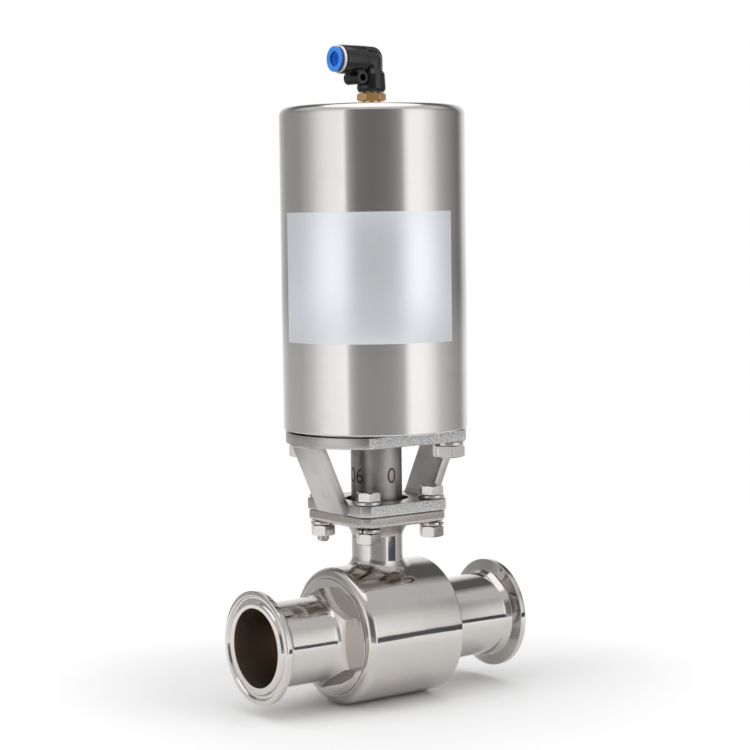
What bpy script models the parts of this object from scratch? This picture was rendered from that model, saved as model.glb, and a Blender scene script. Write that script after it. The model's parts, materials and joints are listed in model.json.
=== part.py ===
"""Pneumatic ball valve: a flanged two-piece ball valve with a single-acting piston actuator.

Units are metres. The origin is the centre of the ball. X runs along the pipe, with the screwed
end cap at -X, and Z runs up the stem to the actuator and its air fitting.

Air let in at the top pushes the piston down against the return spring. The piston's cross pin
slides down two straight slots in a fixed guide tube, and turns the rotor through two helical
slots, a quarter turn over the whole stroke. The rotor, the sleeve, the stem and the ball turn
as one. At rest the spring holds the piston up and the ball's bore across the pipe, closed.
"""
import math

import bmesh
import bpy
from mathutils import Matrix, Vector

# Clearances
SEAT_GAP = 0.0003          # between pieces that rest on or in each other
RUNNING_GAP = 0.0004       # between pieces that turn or slide on each other

# Segments round a full circle
PIPE_SEGMENTS = 28
BARREL_SEGMENTS = 24
INNER_SEGMENTS = 20
SMALL_SEGMENTS = 16
FASTENER_SEGMENTS = 12
WASHER_SEGMENTS = 10

# Pipe ends: 1.5 inch sanitary clamp ferrules on thin tube
FACE_TO_FACE = 0.1344
BORE_RADIUS = 0.01755
TUBE_WALL = 0.0015
FERRULE_LIP = 0.0077
FERRULE_RIM = 0.00285
FERRULE_TAPER_DEGREES = 20.0
FERRULE_HUB_RISE = 0.00135
FERRULE_HUB_LENGTH = 0.0028
GASKET_GROOVE_INSET = 0.00425
GASKET_GROOVE_HALF_WIDTH = 0.0013
GASKET_GROOVE_DEPTH = 0.0011

# Valve body
BODY_WALL = 0.0060
BODY_LEFT_MARGIN = 0.0016
BODY_RIGHT_MARGIN = 0.0002
BODY_EDGE_RADIUS = 0.0040
BODY_RIGHT_CHAMFER = 0.0008
COLLAR_RISE = 0.00125
COLLAR_LENGTH = 0.0024
SPIGOT_LENGTH = 0.0020
CHAMBER_CLEARANCE = 0.0004
SEAL_STEP_X = 0.0120
BODY_SEAL_THICKNESS = 0.0017

# End cap with its hexagon
CAP_PLUG_STEP = 0.0011
CAP_PLUG_PROUD = 0.0004
HEX_FLAT_RISE = 0.00045
HEX_LENGTH = 0.0057
HEX_CONE_LENGTH = 0.0021
HEX_ROOT_LENGTH = 0.0024

# Ball and seats
BALL_MARGIN = 0.00745
BALL_SLOT_DEPTH = 0.0032
SEAT_RIM_INSET = 0.0016
SEAT_CONTACT_INSET = 0.0035
SEAT_DEPTH = 0.0076

# Neck and its square flange
NECK_WALL = 0.0027
NECK_RISE = 0.0253
NECK_FOOT_SPREAD = 0.0036
NECK_FOOT_HEIGHT = 0.0042
NECK_FLARE_SPREAD = 0.0046
NECK_FLARE_HEIGHT = 0.0066
NECK_FLANGE_THICKNESS = 0.0051
NECK_FLANGE_HOLE_MARGIN = 0.00582
NECK_FLANGE_CORNER = 0.0042
NECK_FLANGE_EDGE = 0.0010

# Stem, packing and gland
STEM_RADIUS = 0.0060
STEM_SQUARE = 0.0084
STEM_COLLAR_RADIUS = 0.0085
STEM_COLLAR_HEIGHT = 0.0034
STEM_COLLAR_LIFT = 0.0010
STEM_SQUARE_LENGTH = 0.0144
TANG_WIDTH = 0.0080
THRUST_WASHER_THICKNESS = 0.0010
STEM_BORE_LENGTH = 0.0070
PACKING_WIDTH = 0.0030
PACKING_RING_HEIGHT = 0.0030
FOLLOWER_HEIGHT = 0.0024
GLAND_NUT_SINK = 0.0003
GLAND_SLOT_WIDTH = 0.0020
GLAND_SLOT_DEPTH = 0.0014

# Bracket
PLATE_THICKNESS = 0.0050
BRACKET_HEIGHT = 0.0363
BASE_PLATE_MARGIN = 0.0010
BASE_PLATE_CORNER = 0.0040
LEG_WIDTH = 0.0200
LEG_THICKNESS = 0.0048
LEG_FOOT_PROUD = 0.0018
LEG_HEAD_INSET = 0.0007
TOP_PLATE_INSET = 0.0010
TOP_PLATE_FLAT_DEPTH = 0.0098
SLEEVE_HOLE_CLEARANCE = 0.0008

# Coupling sleeve between the stem and the actuator
SLEEVE_RADIUS = 0.0116
SLEEVE_FOOT_LIFT = 0.0016
SLEEVE_HEAD_RISE = 0.0014
SLEEVE_CHAMFER = 0.0005
DRIVE_SQUARE = 0.0104
SHAFT_END_GAP = 0.0005

# Fasteners: four M6 through the plates, two M8 up into the actuator
M6_CLEAR_OF_NECK = 0.0133
M6_RADIUS = 0.0030
M6_ACROSS_FLATS = 0.0100
M6_HEAD_HEIGHT = 0.0040
M6_LENGTH = 0.0220
M6_NUT_HEIGHT = 0.0050
M6_WASHER_RADIUS = 0.0060
M6_WASHER_THICKNESS = 0.0014
M6_SPRING_WASHER_RADIUS = 0.0056
M6_SPRING_WASHER_THICKNESS = 0.0014
M6_HEAD_TURNS_DEGREES = (12.0, 40.0, 25.0, 5.0)
M8_EDGE_DISTANCE = 0.00777
M8_RADIUS = 0.0040
M8_ACROSS_FLATS = 0.0130
M8_HEAD_HEIGHT = 0.0053
M8_LENGTH = 0.0160
M8_SPRING_WASHER_RADIUS = 0.0068
M8_SPRING_WASHER_THICKNESS = 0.0016
M8_HEAD_TURNS_DEGREES = (20.0, 50.0)
BOLT_HOLE_CLEARANCE = 0.0003
SPRING_WASHER_SPLIT_DEGREES = 12.0
HEX_END_CHAMFER = 0.0006

# Actuator barrel
BARREL_RADIUS = 0.0420
BARREL_WALL = 0.0025
BARREL_LIFT = 0.0009
BARREL_HEIGHT = 0.1448
BARREL_EDGE_RADIUS = 0.0040
BARREL_FOOT_CHAMFER = 0.0008
PORT_BOSS_RADIUS = 0.0090
PORT_BOSS_HEIGHT = 0.0040

# End cover, its retaining ring and its seals
COVER_THICKNESS = 0.0137
COVER_STEP_INSET = 0.0012
COVER_STEP_HEIGHT = 0.0038
COVER_LIP_HEIGHT = 0.0015
COVER_SEAL_SECTION = 0.0024
COVER_SEAL_FROM_TOP = 0.0023
COVER_RECESS_DEPTH = 0.0020
SNAP_RING_THICKNESS = 0.0014
SNAP_RING_BITE = 0.0009
SNAP_RING_OPENING_SEGMENTS = 2
SHAFT_SEAL_SECTION = 0.0021
BUSH_WALL = 0.0020

# Rotor, guide tube, piston and spring
PISTON_STROKE = 0.0340
QUARTER_TURN = math.pi / 2.0
SHAFT_RADIUS = 0.0090
ROTOR_COLLAR_RADIUS = 0.0150
ROTOR_COLLAR_HEIGHT = 0.0035
ROTOR_RADIUS = 0.0130
ROTOR_WALL = 0.0044
ROTOR_WASHER_THICKNESS = 0.0012
ROTOR_FLOOR = 0.0027
GUIDE_WALL = 0.0038
GUIDE_FLANGE_INSET = 0.0045
GUIDE_FLANGE_FLAT_DEPTH = 0.0030
GUIDE_FLANGE_THICKNESS = 0.0043
GUIDE_RING_HEIGHT = 0.0082
PISTON_TOP_CLEARANCE = 0.0007
PISTON_BOTTOM_CLEARANCE = 0.0015
PISTON_SIDE_CLEARANCE = 0.0005
PISTON_HEIGHT = 0.0130
PISTON_EDGE = 0.0008
PISTON_RECESS_CLEARANCE = 0.0030
PISTON_RECESS_DEPTH = 0.0050
WEAR_RING_HEIGHT = 0.0034
WEAR_RING_DEPTH = 0.0021
WEAR_RING_LIFT = 0.0023
PISTON_SEAL_HEIGHT = 0.0029
PISTON_SEAL_DEPTH = 0.0035
PISTON_SEAL_SINK = 0.0018
SKIRT_WALL = 0.0037
SKIRT_END = 0.0050
PIN_RADIUS = 0.0025
ROLLER_WALL = 0.0007
SPRING_WIRE_RADIUS = 0.0030
SPRING_INSET = 0.0015
SPRING_TURNS = 6.0
SPRING_POINTS_PER_TURN = 10

# Air fitting: brass stud, swivelling elbow, push-in tube socket
STUD_THREAD_RADIUS = 0.0046
STUD_COLLAR_HEIGHT = 0.0024
STUD_HEX_ACROSS_FLATS = 0.0115
STUD_HEX_HEIGHT = 0.0038
STUD_SPIGOT_RADIUS = 0.0036
STUD_SPIGOT_LENGTH = 0.0070
AIR_PASSAGE_RADIUS = 0.0022
SWIVEL_SEAL_SECTION = 0.0012
ELBOW_RISE = 0.0145
ELBOW_BEND_RADIUS = 0.0055
ELBOW_BASE_RADIUS = 0.00655
ELBOW_BASE_TOP_RADIUS = 0.0060
ELBOW_BASE_FOOT_RADIUS = 0.0058
ELBOW_BASE_HEIGHT = 0.0088
ELBOW_BARREL_RADIUS = 0.00645
ELBOW_BARREL_START = 0.0025
ELBOW_BARREL_END = 0.0170
LUG_RADIUS = 0.0029
LUG_HOLE_RADIUS = 0.0016
LUG_LENGTH = 0.0110
LUG_X = 0.0086
LUG_DROP = 0.0081
TUBE_RADIUS_CLEAR = 0.0031
TUBE_STOP_X = 0.0075
SOCKET_RADIUS = 0.0049
SOCKET_FLOOR_X = 0.0096
TUBE_SEAL_SECTION = 0.0015
GRIP_RING_THICKNESS = 0.0004
GRIP_RING_X = 0.0117
RETAINER_RADIUS = 0.0061
RETAINER_THICKNESS = 0.0011
COLLET_TRAVEL = 0.0010
COLLET_WALL = 0.0008
COLLET_LIP_RADIUS = 0.0046
COLLET_LIP_LENGTH = 0.0010
COLLET_FLANGE_RADIUS = 0.0057
COLLET_FLANGE_THICKNESS = 0.0008

# Sizes that follow from the ones above
FACE_X = FACE_TO_FACE / 2.0
TUBE_RADIUS = BORE_RADIUS + TUBE_WALL
FERRULE_RADIUS = BORE_RADIUS + FERRULE_LIP
FERRULE_HUB_RADIUS = TUBE_RADIUS + FERRULE_HUB_RISE
GASKET_GROOVE_RADIUS = BORE_RADIUS + GASKET_GROOVE_INSET
FERRULE_TAPER = (FERRULE_RADIUS - FERRULE_HUB_RADIUS) * math.tan(math.radians(FERRULE_TAPER_DEGREES))
FERRULE_BACK_X = FACE_X - FERRULE_RIM - FERRULE_TAPER

BALL_RADIUS = BORE_RADIUS + BALL_MARGIN
SEAT_RADIUS = BALL_RADIUS - SEAT_RIM_INSET
SEAT_CONTACT_RADIUS = BALL_RADIUS - SEAT_CONTACT_INSET
BODY_RADIUS = BALL_RADIUS + BODY_WALL
BODY_LEFT = BALL_RADIUS + BODY_LEFT_MARGIN
BODY_RIGHT = BALL_RADIUS + BODY_RIGHT_MARGIN
COLLAR_RADIUS = TUBE_RADIUS + COLLAR_RISE
COLLAR_X = BODY_RIGHT + SEAT_GAP
SPIGOT_X = BODY_RIGHT - SPIGOT_LENGTH
CAP_PLUG_RADIUS = BALL_RADIUS + CAP_PLUG_STEP
HEX_ACROSS_FLATS = 2.0 * (TUBE_RADIUS + HEX_FLAT_RISE)
CHAMBER_RADIUS = BALL_RADIUS + CHAMBER_CLEARANCE
CAP_THREAD_BORE = CAP_PLUG_RADIUS + SEAT_GAP
SEAT_SPHERE = BALL_RADIUS + RUNNING_GAP
SEAT_FRONT_X = math.sqrt(SEAT_SPHERE ** 2 - SEAT_CONTACT_RADIUS ** 2)
SEAT_BACK_X = SEAT_FRONT_X + SEAT_DEPTH
SEAT_POCKET_RADIUS = SEAT_RADIUS + SEAT_GAP
SEAT_POCKET_X = SEAT_BACK_X + SEAT_GAP
CHAMBER_END_X = SEAT_FRONT_X - 3.0 * SEAT_GAP
CAP_END_X = SEAL_STEP_X + BODY_SEAL_THICKNESS + 2.0 * SEAT_GAP
BODY_SEAL_INNER = SEAT_POCKET_RADIUS + 2.0 * SEAT_GAP
CAP_FACE_X = BODY_LEFT + CAP_PLUG_PROUD
HEX_CORNER_RADIUS = HEX_ACROSS_FLATS / 2.0 / math.cos(math.pi / 6.0)
HEX_BLANK_RADIUS = HEX_CORNER_RADIUS + SEAT_GAP

BALL_SLOT_FLOOR = BALL_RADIUS - BALL_SLOT_DEPTH
STEM_COLLAR_BOTTOM = BALL_RADIUS + STEM_COLLAR_LIFT
STEM_COLLAR_TOP = STEM_COLLAR_BOTTOM + STEM_COLLAR_HEIGHT
THRUST_WASHER_BOTTOM = STEM_COLLAR_TOP + SEAT_GAP
COUNTERBORE_TOP = THRUST_WASHER_BOTTOM + THRUST_WASHER_THICKNESS + SEAT_GAP
PACKING_FLOOR = COUNTERBORE_TOP + STEM_BORE_LENGTH
PACKING_RADIUS = STEM_RADIUS + PACKING_WIDTH
PACKING_BOX_RADIUS = PACKING_RADIUS + SEAT_GAP
STEM_HOLE_RADIUS = STEM_RADIUS + SEAT_GAP
FOLLOWER_BOTTOM = PACKING_FLOOR + SEAT_GAP + 3.0 * (PACKING_RING_HEIGHT + SEAT_GAP)
GLAND_NUT_BOTTOM = FOLLOWER_BOTTOM + FOLLOWER_HEIGHT + SEAT_GAP

NECK_RADIUS = PACKING_RADIUS + NECK_WALL
M6_CIRCLE_RADIUS = NECK_RADIUS + M6_CLEAR_OF_NECK
NECK_FLANGE_WIDTH = 2.0 * (M6_CIRCLE_RADIUS * math.cos(math.pi / 4.0) + NECK_FLANGE_HOLE_MARGIN)
NECK_FLANGE_BOTTOM = BALL_RADIUS + NECK_RISE
NECK_FLANGE_TOP = NECK_FLANGE_BOTTOM + NECK_FLANGE_THICKNESS
GLAND_NUT_TOP = NECK_FLANGE_TOP - GLAND_NUT_SINK
BRACKET_BOTTOM = NECK_FLANGE_TOP + SEAT_GAP
BASE_PLATE_TOP = BRACKET_BOTTOM + PLATE_THICKNESS
BASE_PLATE_WIDTH = NECK_FLANGE_WIDTH + BASE_PLATE_MARGIN
TOP_PLATE_RADIUS = BARREL_RADIUS - TOP_PLATE_INSET
TOP_PLATE_HALF_WIDTH = TOP_PLATE_RADIUS - TOP_PLATE_FLAT_DEPTH
M8_CIRCLE_RADIUS = TOP_PLATE_RADIUS - M8_EDGE_DISTANCE
LEG_FOOT_X = BASE_PLATE_WIDTH / 2.0 + LEG_FOOT_PROUD
LEG_HEAD_X = TOP_PLATE_RADIUS - LEG_HEAD_INSET
TOP_PLATE_TOP = BRACKET_BOTTOM + BRACKET_HEIGHT
TOP_PLATE_BOTTOM = TOP_PLATE_TOP - PLATE_THICKNESS
SLEEVE_BOTTOM = BRACKET_BOTTOM + SLEEVE_FOOT_LIFT
SLEEVE_TOP = TOP_PLATE_BOTTOM + SLEEVE_HEAD_RISE
STEM_SHOULDER = SLEEVE_BOTTOM - SEAT_GAP
STEM_TOP = STEM_SHOULDER + STEM_SQUARE_LENGTH
SHAFT_BOTTOM = STEM_TOP + 2.0 * SHAFT_END_GAP

COVER_BOTTOM = TOP_PLATE_TOP + SEAT_GAP
COVER_TOP = COVER_BOTTOM + COVER_THICKNESS
COVER_STEP_TOP = COVER_BOTTOM + COVER_STEP_HEIGHT
BARREL_BOTTOM = TOP_PLATE_TOP + BARREL_LIFT
BARREL_TOP = BARREL_BOTTOM + BARREL_HEIGHT
BARREL_BORE = BARREL_RADIUS - BARREL_WALL
BARREL_CEILING = BARREL_TOP - BARREL_WALL
COVER_RADIUS = BARREL_BORE - SEAT_GAP
COVER_STEP_RADIUS = BARREL_BORE - COVER_STEP_INSET
SNAP_RING_TOP = COVER_STEP_TOP - SEAT_GAP
SNAP_RING_OUTER = BARREL_BORE + SNAP_RING_BITE
SNAP_RING_INNER = COVER_STEP_RADIUS + SEAT_GAP
COVER_RECESS_FLOOR = COVER_TOP - COVER_RECESS_DEPTH
COVER_HOLE_RADIUS = SHAFT_RADIUS + RUNNING_GAP
BUSH_INNER = SHAFT_RADIUS + SEAT_GAP
BUSH_OUTER = BUSH_INNER + BUSH_WALL
COVER_BORE = BUSH_OUTER + SEAT_GAP
COVER_LIP_TOP = COVER_BOTTOM + COVER_LIP_HEIGHT
BUSH_BOTTOM = COVER_LIP_TOP + SHAFT_SEAL_SECTION + 2.0 * SEAT_GAP
M8_HOLE_TOP = COVER_BOTTOM + M8_LENGTH - PLATE_THICKNESS - M8_SPRING_WASHER_THICKNESS - SEAT_GAP

ROTOR_WASHER_BOTTOM = COVER_RECESS_FLOOR + SEAT_GAP
ROTOR_COLLAR_BOTTOM = ROTOR_WASHER_BOTTOM + ROTOR_WASHER_THICKNESS + SEAT_GAP
ROTOR_COLLAR_TOP = ROTOR_COLLAR_BOTTOM + ROTOR_COLLAR_HEIGHT
ROTOR_BORE_BOTTOM = ROTOR_COLLAR_TOP + ROTOR_FLOOR
GUIDE_FLANGE_RADIUS = BARREL_BORE - GUIDE_FLANGE_INSET
GUIDE_FLANGE_HALF_WIDTH = GUIDE_FLANGE_RADIUS - GUIDE_FLANGE_FLAT_DEPTH
GUIDE_BOTTOM = COVER_RECESS_FLOOR + SEAT_GAP
GUIDE_FLANGE_TOP = GUIDE_BOTTOM + GUIDE_FLANGE_THICKNESS
GUIDE_BORE = ROTOR_RADIUS + RUNNING_GAP
GUIDE_COUNTERBORE = ROTOR_COLLAR_RADIUS + RUNNING_GAP
GUIDE_COUNTERBORE_TOP = ROTOR_COLLAR_TOP + 2.0 * SEAT_GAP
GUIDE_RADIUS = GUIDE_BORE + GUIDE_WALL

PISTON_TOP = BARREL_CEILING - PISTON_TOP_CLEARANCE
PISTON_UNDERSIDE = PISTON_TOP - PISTON_HEIGHT
PISTON_RADIUS = BARREL_BORE - PISTON_SIDE_CLEARANCE
GUIDE_TOP = PISTON_UNDERSIDE - PISTON_STROKE - PISTON_BOTTOM_CLEARANCE
GUIDE_SLOT_HALF_WIDTH = PIN_RADIUS + SEAT_GAP
PIN_Z = GUIDE_TOP - GUIDE_RING_HEIGHT - GUIDE_SLOT_HALF_WIDTH
SKIRT_BORE = GUIDE_RADIUS + 2.0 * SEAT_GAP
SKIRT_RADIUS = SKIRT_BORE + SKIRT_WALL
SKIRT_BOTTOM = PIN_Z - SKIRT_END
ROTOR_TOP = GUIDE_TOP - 2.0 * SEAT_GAP
ROLLER_BORE = PIN_RADIUS + SEAT_GAP
ROLLER_RADIUS = ROLLER_BORE + ROLLER_WALL
ROTOR_SLOT_HALF_WIDTH = ROLLER_RADIUS + RUNNING_GAP
SPRING_RADIUS = (SKIRT_RADIUS + BARREL_BORE) / 2.0 - SPRING_INSET
SPRING_BOTTOM = GUIDE_FLANGE_TOP + SEAT_GAP
SPRING_TOP = PISTON_UNDERSIDE - SEAT_GAP

STUD_BOTTOM = BARREL_CEILING - PORT_BOSS_HEIGHT + SEAT_GAP
STUD_HEX_BOTTOM = BARREL_TOP + STUD_COLLAR_HEIGHT
STUD_HEX_TOP = STUD_HEX_BOTTOM + STUD_HEX_HEIGHT
STUD_TOP = STUD_HEX_TOP + STUD_SPIGOT_LENGTH
ELBOW_BOTTOM = STUD_HEX_TOP + SEAT_GAP
ELBOW_AXIS_Z = STUD_HEX_TOP + ELBOW_RISE
SWIVEL_SEAL_Z = STUD_HEX_TOP + STUD_SPIGOT_LENGTH / 2.0
ELBOW_SPIGOT_BORE = STUD_SPIGOT_RADIUS + SEAT_GAP
RETAINER_BACK_X = ELBOW_BARREL_END + SEAT_GAP
RETAINER_FRONT_X = RETAINER_BACK_X + RETAINER_THICKNESS
COLLET_RADIUS = TUBE_RADIUS_CLEAR + COLLET_WALL
COLLET_FLANGE_BACK_X = RETAINER_FRONT_X + COLLET_TRAVEL + SEAT_GAP
COLLET_FRONT_X = COLLET_FLANGE_BACK_X + COLLET_FLANGE_THICKNESS
COLLET_END_X = GRIP_RING_X + GRIP_RING_THICKNESS + COLLET_TRAVEL + SEAT_GAP

# Colour, roughness and metallic value of each finish
FINISHES = {
    "polished_steel": ((0.78, 0.76, 0.74), 0.14, 1.0),
    "brushed_steel": ((0.70, 0.69, 0.67), 0.28, 1.0),
    "blasted_steel": ((0.52, 0.51, 0.50), 0.52, 1.0),
    "bolt_steel": ((0.74, 0.72, 0.69), 0.20, 1.0),
    "spring_steel": ((0.36, 0.37, 0.39), 0.34, 1.0),
    "aluminium": ((0.72, 0.73, 0.75), 0.36, 1.0),
    "bronze": ((0.58, 0.40, 0.20), 0.38, 1.0),
    "brass": ((0.76, 0.55, 0.27), 0.24, 1.0),
    "white_polymer": ((0.90, 0.90, 0.87), 0.45, 0.0),
    "seal_rubber": ((0.03, 0.03, 0.03), 0.60, 0.0),
    "black_plastic": ((0.025, 0.025, 0.028), 0.30, 0.0),
    "pale_plastic": ((0.86, 0.84, 0.78), 0.35, 0.0),
    "blue_plastic": ((0.02, 0.20, 0.72), 0.32, 0.0),
}

AXES = {"X": Vector((1.0, 0.0, 0.0)), "Y": Vector((0.0, 1.0, 0.0)), "Z": Vector((0.0, 0.0, 1.0))}
SHARP_ANGLE = math.radians(32.0)
MERGE_DISTANCE = 0.000002


def clear_scene():
    for old in list(bpy.data.objects):
        bpy.data.objects.remove(old, do_unlink=True)


def make_material(name, finish):
    colour, roughness, metallic = FINISHES[finish]
    material = bpy.data.materials.new(name)
    material.use_nodes = True
    shader = material.node_tree.nodes["Principled BSDF"]
    shader.inputs["Base Color"].default_value = (*colour, 1.0)
    shader.inputs["Roughness"].default_value = roughness
    shader.inputs["Metallic"].default_value = metallic
    return material


def add_object(name, mesh, finish, location=(0.0, 0.0, 0.0), rotation=(0.0, 0.0, 0.0)):
    """Put a mesh in the scene as one piece with its own material."""
    piece = bpy.data.objects.new(name, mesh)
    bpy.context.scene.collection.objects.link(piece)
    piece.location = location
    piece.rotation_euler = rotation
    if not mesh.materials:
        mesh.materials.append(None)
    piece.material_slots[0].link = "OBJECT"
    piece.material_slots[0].material = make_material(name, finish)
    return piece


def close_mesh(name, bm):
    """Turn a bmesh into a smooth-shaded mesh with its faces pointing out."""
    bmesh.ops.remove_doubles(bm, verts=bm.verts, dist=MERGE_DISTANCE)
    bmesh.ops.recalc_face_normals(bm, faces=bm.faces)
    mesh = bpy.data.meshes.new(name)
    bm.to_mesh(mesh)
    bm.free()
    mesh.shade_smooth()
    mesh.set_sharp_from_angle(angle=SHARP_ANGLE)
    return mesh


def hide_guide(piece):
    piece.hide_render = True
    piece.display_type = "WIRE"


def combine(piece, mesh, operation):
    """Join a mesh to a piece, or cut it away, with a live Boolean."""
    guide = bpy.data.objects.new(mesh.name, mesh)
    bpy.context.scene.collection.objects.link(guide)
    guide.location = piece.location
    guide.rotation_euler = piece.rotation_euler
    hide_guide(guide)
    modifier = piece.modifiers.new(mesh.name, "BOOLEAN")
    modifier.operation = operation
    modifier.object = guide


def arc(centre, radius, start_degrees, end_degrees, steps):
    """Points of an arc in the plane of a profile, as (along, radial) pairs."""
    points = []
    for step in range(steps + 1):
        angle = math.radians(start_degrees + (end_degrees - start_degrees) * step / steps)
        points.append((centre[0] + radius * math.cos(angle), centre[1] + radius * math.sin(angle)))
    return points


def profile_point(axis, along, radial):
    """A profile's point, with its radial side along Z for the X axis and along X otherwise."""
    if axis == "X":
        return Vector((along, 0.0, radial))
    if axis == "Y":
        return Vector((radial, along, 0.0))
    return Vector((radial, 0.0, along))


def turned(name, profile, axis="Z", segments=INNER_SEGMENTS, ring=True, degrees=360.0):
    """Spin a profile about an axis through the origin.

    A ring's profile is a closed loop clear of the axis. A solid's profile starts and ends on it.
    """
    bm = bmesh.new()
    points = [bm.verts.new(profile_point(axis, along, radial)) for along, radial in profile]
    edges = [bm.edges.new(pair) for pair in zip(points, points[1:])]
    if ring:
        edges.append(bm.edges.new((points[-1], points[0])))
    full = degrees >= 360.0
    bmesh.ops.spin(bm, geom=points + edges, cent=(0.0, 0.0, 0.0), axis=AXES[axis],
                   angle=math.radians(degrees), steps=segments, use_merge=full)
    if not full:
        rims = [edge for edge in bm.edges if edge.is_boundary]
        bmesh.ops.holes_fill(bm, edges=rims, sides=0)
    return close_mesh(name, bm)


def skinned(name, rings, closed=False):
    """Skin rings of equally many points, with flat ends unless the last ring joins the first."""
    bm = bmesh.new()
    loops = [[bm.verts.new(point) for point in ring] for ring in rings]
    pairs = list(zip(loops, loops[1:]))
    if closed:
        pairs.append((loops[-1], loops[0]))
    for lower, upper in pairs:
        for index in range(len(lower)):
            following = (index + 1) % len(lower)
            bm.faces.new((lower[index], lower[following], upper[following], upper[index]))
    if not closed:
        bm.faces.new(loops[0])
        bm.faces.new(loops[-1])
    return close_mesh(name, bm)


def circle(radius, z, count, phase=0.0):
    step = 2.0 * math.pi / count
    return [Vector((radius * math.cos(phase + index * step), radius * math.sin(phase + index * step), z))
            for index in range(count)]


def polygon(across_flats, sides, z, phase=0.0):
    """A regular polygon given by the distance between its flats."""
    return circle(across_flats / 2.0 / math.cos(math.pi / sides), z, sides, phase)


def hexagon(across_flats, z):
    """A hexagon with a point at each corner and at the middle of each flat."""
    corners = polygon(across_flats, 6, z)
    points = []
    for index, corner in enumerate(corners):
        points.append(corner)
        points.append((corner + corners[(index + 1) % 6]) / 2.0)
    return points


def prism(name, outline, bottom, top):
    """A flat outline of (x, y) pairs raised from one height to another."""
    rings = [[Vector((x, y, height)) for x, y in outline] for height in (bottom, top)]
    return skinned(name, rings)


def chamfered_square(width, corner):
    half = width / 2.0
    inner = half - corner
    return [(half, -inner), (half, inner), (inner, half), (-inner, half),
            (-half, inner), (-half, -inner), (-inner, -half), (inner, -half)]


def flatted_disc(radius, half_width, segments):
    """A disc's outline with two flats across Y."""
    corners = circle(radius, 0.0, segments)
    outline = []
    for index, corner in enumerate(corners):
        following = corners[(index + 1) % segments]
        if abs(corner.y) <= half_width:
            outline.append((corner.x, corner.y))
        for level in (half_width, -half_width):
            if (corner.y - level) * (following.y - level) < 0.0:
                crossing = corner.lerp(following, (level - corner.y) / (following.y - corner.y))
                outline.append((crossing.x, crossing.y))
    return outline


def box(name, low, high):
    bm = bmesh.new()
    size = Vector(high) - Vector(low)
    centre = (Vector(high) + Vector(low)) / 2.0
    bmesh.ops.create_cube(bm, size=1.0, matrix=Matrix.Translation(centre) @ Matrix.Diagonal((*size, 1.0)))
    return close_mesh(name, bm)


def rods(name, axis, radius, start, end, centres, segments):
    """One mesh of parallel round rods, used as a cutter. Centres are points across the axis."""
    bm = bmesh.new()
    for centre in centres:
        turn = AXES["Z"].rotation_difference(AXES[axis]).to_matrix().to_4x4()
        place = Matrix.Translation(Vector(centre) + AXES[axis] * (start + end) / 2.0) @ turn
        bmesh.ops.create_cone(bm, cap_ends=True, segments=segments, radius1=radius, radius2=radius,
                              depth=end - start, matrix=place)
    return close_mesh(name, bm)


def flats_cutter(name, across_flats, sides, reach, bottom, top, phase=0.0):
    """A ring round Z whose hole is a polygon: what it cuts is left with that many flats."""
    inner = [polygon(across_flats, sides, height, phase) for height in (bottom, top)]
    outer = [circle(reach, height, sides, phase) for height in (bottom, top)]
    return skinned(name, [inner[0], outer[0], outer[1], inner[1]], closed=True)


def torus_profile(along, radial, section_radius):
    """An O-ring's round section, as five points."""
    return arc((along, radial), section_radius, 0.0, 288.0, 4)


def turn_points(angle, radius, z):
    return Vector((radius * math.cos(angle), radius * math.sin(angle), z))


def slot_cutter(name, top_angle, sweep, half_width, z_top, z_bottom, inner, outer):
    """A cutter for a slot in a tube's wall, down a straight line or a helix, with rounded ends.

    Its sides are square to the path at each radius, so a round roller fits from wall to wall.
    """
    steps = 8 if sweep else 1
    end_steps = 2
    drop = z_top - z_bottom
    stations = [(0.0, math.sin(k * QUARTER_TURN / end_steps), -1.0) for k in range(end_steps, 0, -1)]
    stations += [(step / steps, 0.0, 0.0) for step in range(steps + 1)]
    stations += [(1.0, math.sin(k * QUARTER_TURN / end_steps), 1.0) for k in range(1, end_steps + 1)]
    rings = []
    for fraction, beyond, side in stations:
        angle = top_angle + sweep * fraction
        z = z_top - drop * fraction
        across = math.sqrt(max(1.0 - beyond ** 2, 0.01))
        ring = []
        for radius, sign in ((inner, -1.0), (outer, -1.0), (outer, 1.0), (inner, 1.0)):
            path = Vector((sweep * radius, -drop)).normalized()
            along = path * side * beyond * half_width
            aside = Vector((-path.y, path.x)) * sign * across * half_width
            offset = along + aside
            ahead = Vector((-math.sin(angle), math.cos(angle), 0.0))
            ring.append(turn_points(angle, radius, z + offset.y) + ahead * offset.x)
        rings.append(ring)
    return skinned(name, rings)


def ferrule_outline(side):
    """The outside of a pipe end from its tube to its sealing face; side is -1 or 1 along X."""
    groove_outer = GASKET_GROOVE_RADIUS + GASKET_GROOVE_HALF_WIDTH
    groove_inner = GASKET_GROOVE_RADIUS - GASKET_GROOVE_HALF_WIDTH
    floor_x = FACE_X - GASKET_GROOVE_DEPTH
    points = [(FERRULE_BACK_X - FERRULE_HUB_LENGTH, TUBE_RADIUS), (FERRULE_BACK_X, FERRULE_HUB_RADIUS),
              (FACE_X - FERRULE_RIM, FERRULE_RADIUS), (FACE_X, FERRULE_RADIUS), (FACE_X, groove_outer),
              (floor_x, groove_outer - GASKET_GROOVE_DEPTH / 2.0),
              (floor_x, groove_inner + GASKET_GROOVE_DEPTH / 2.0), (FACE_X, groove_inner)]
    return [(side * x, radius) for x, radius in points]


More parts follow.
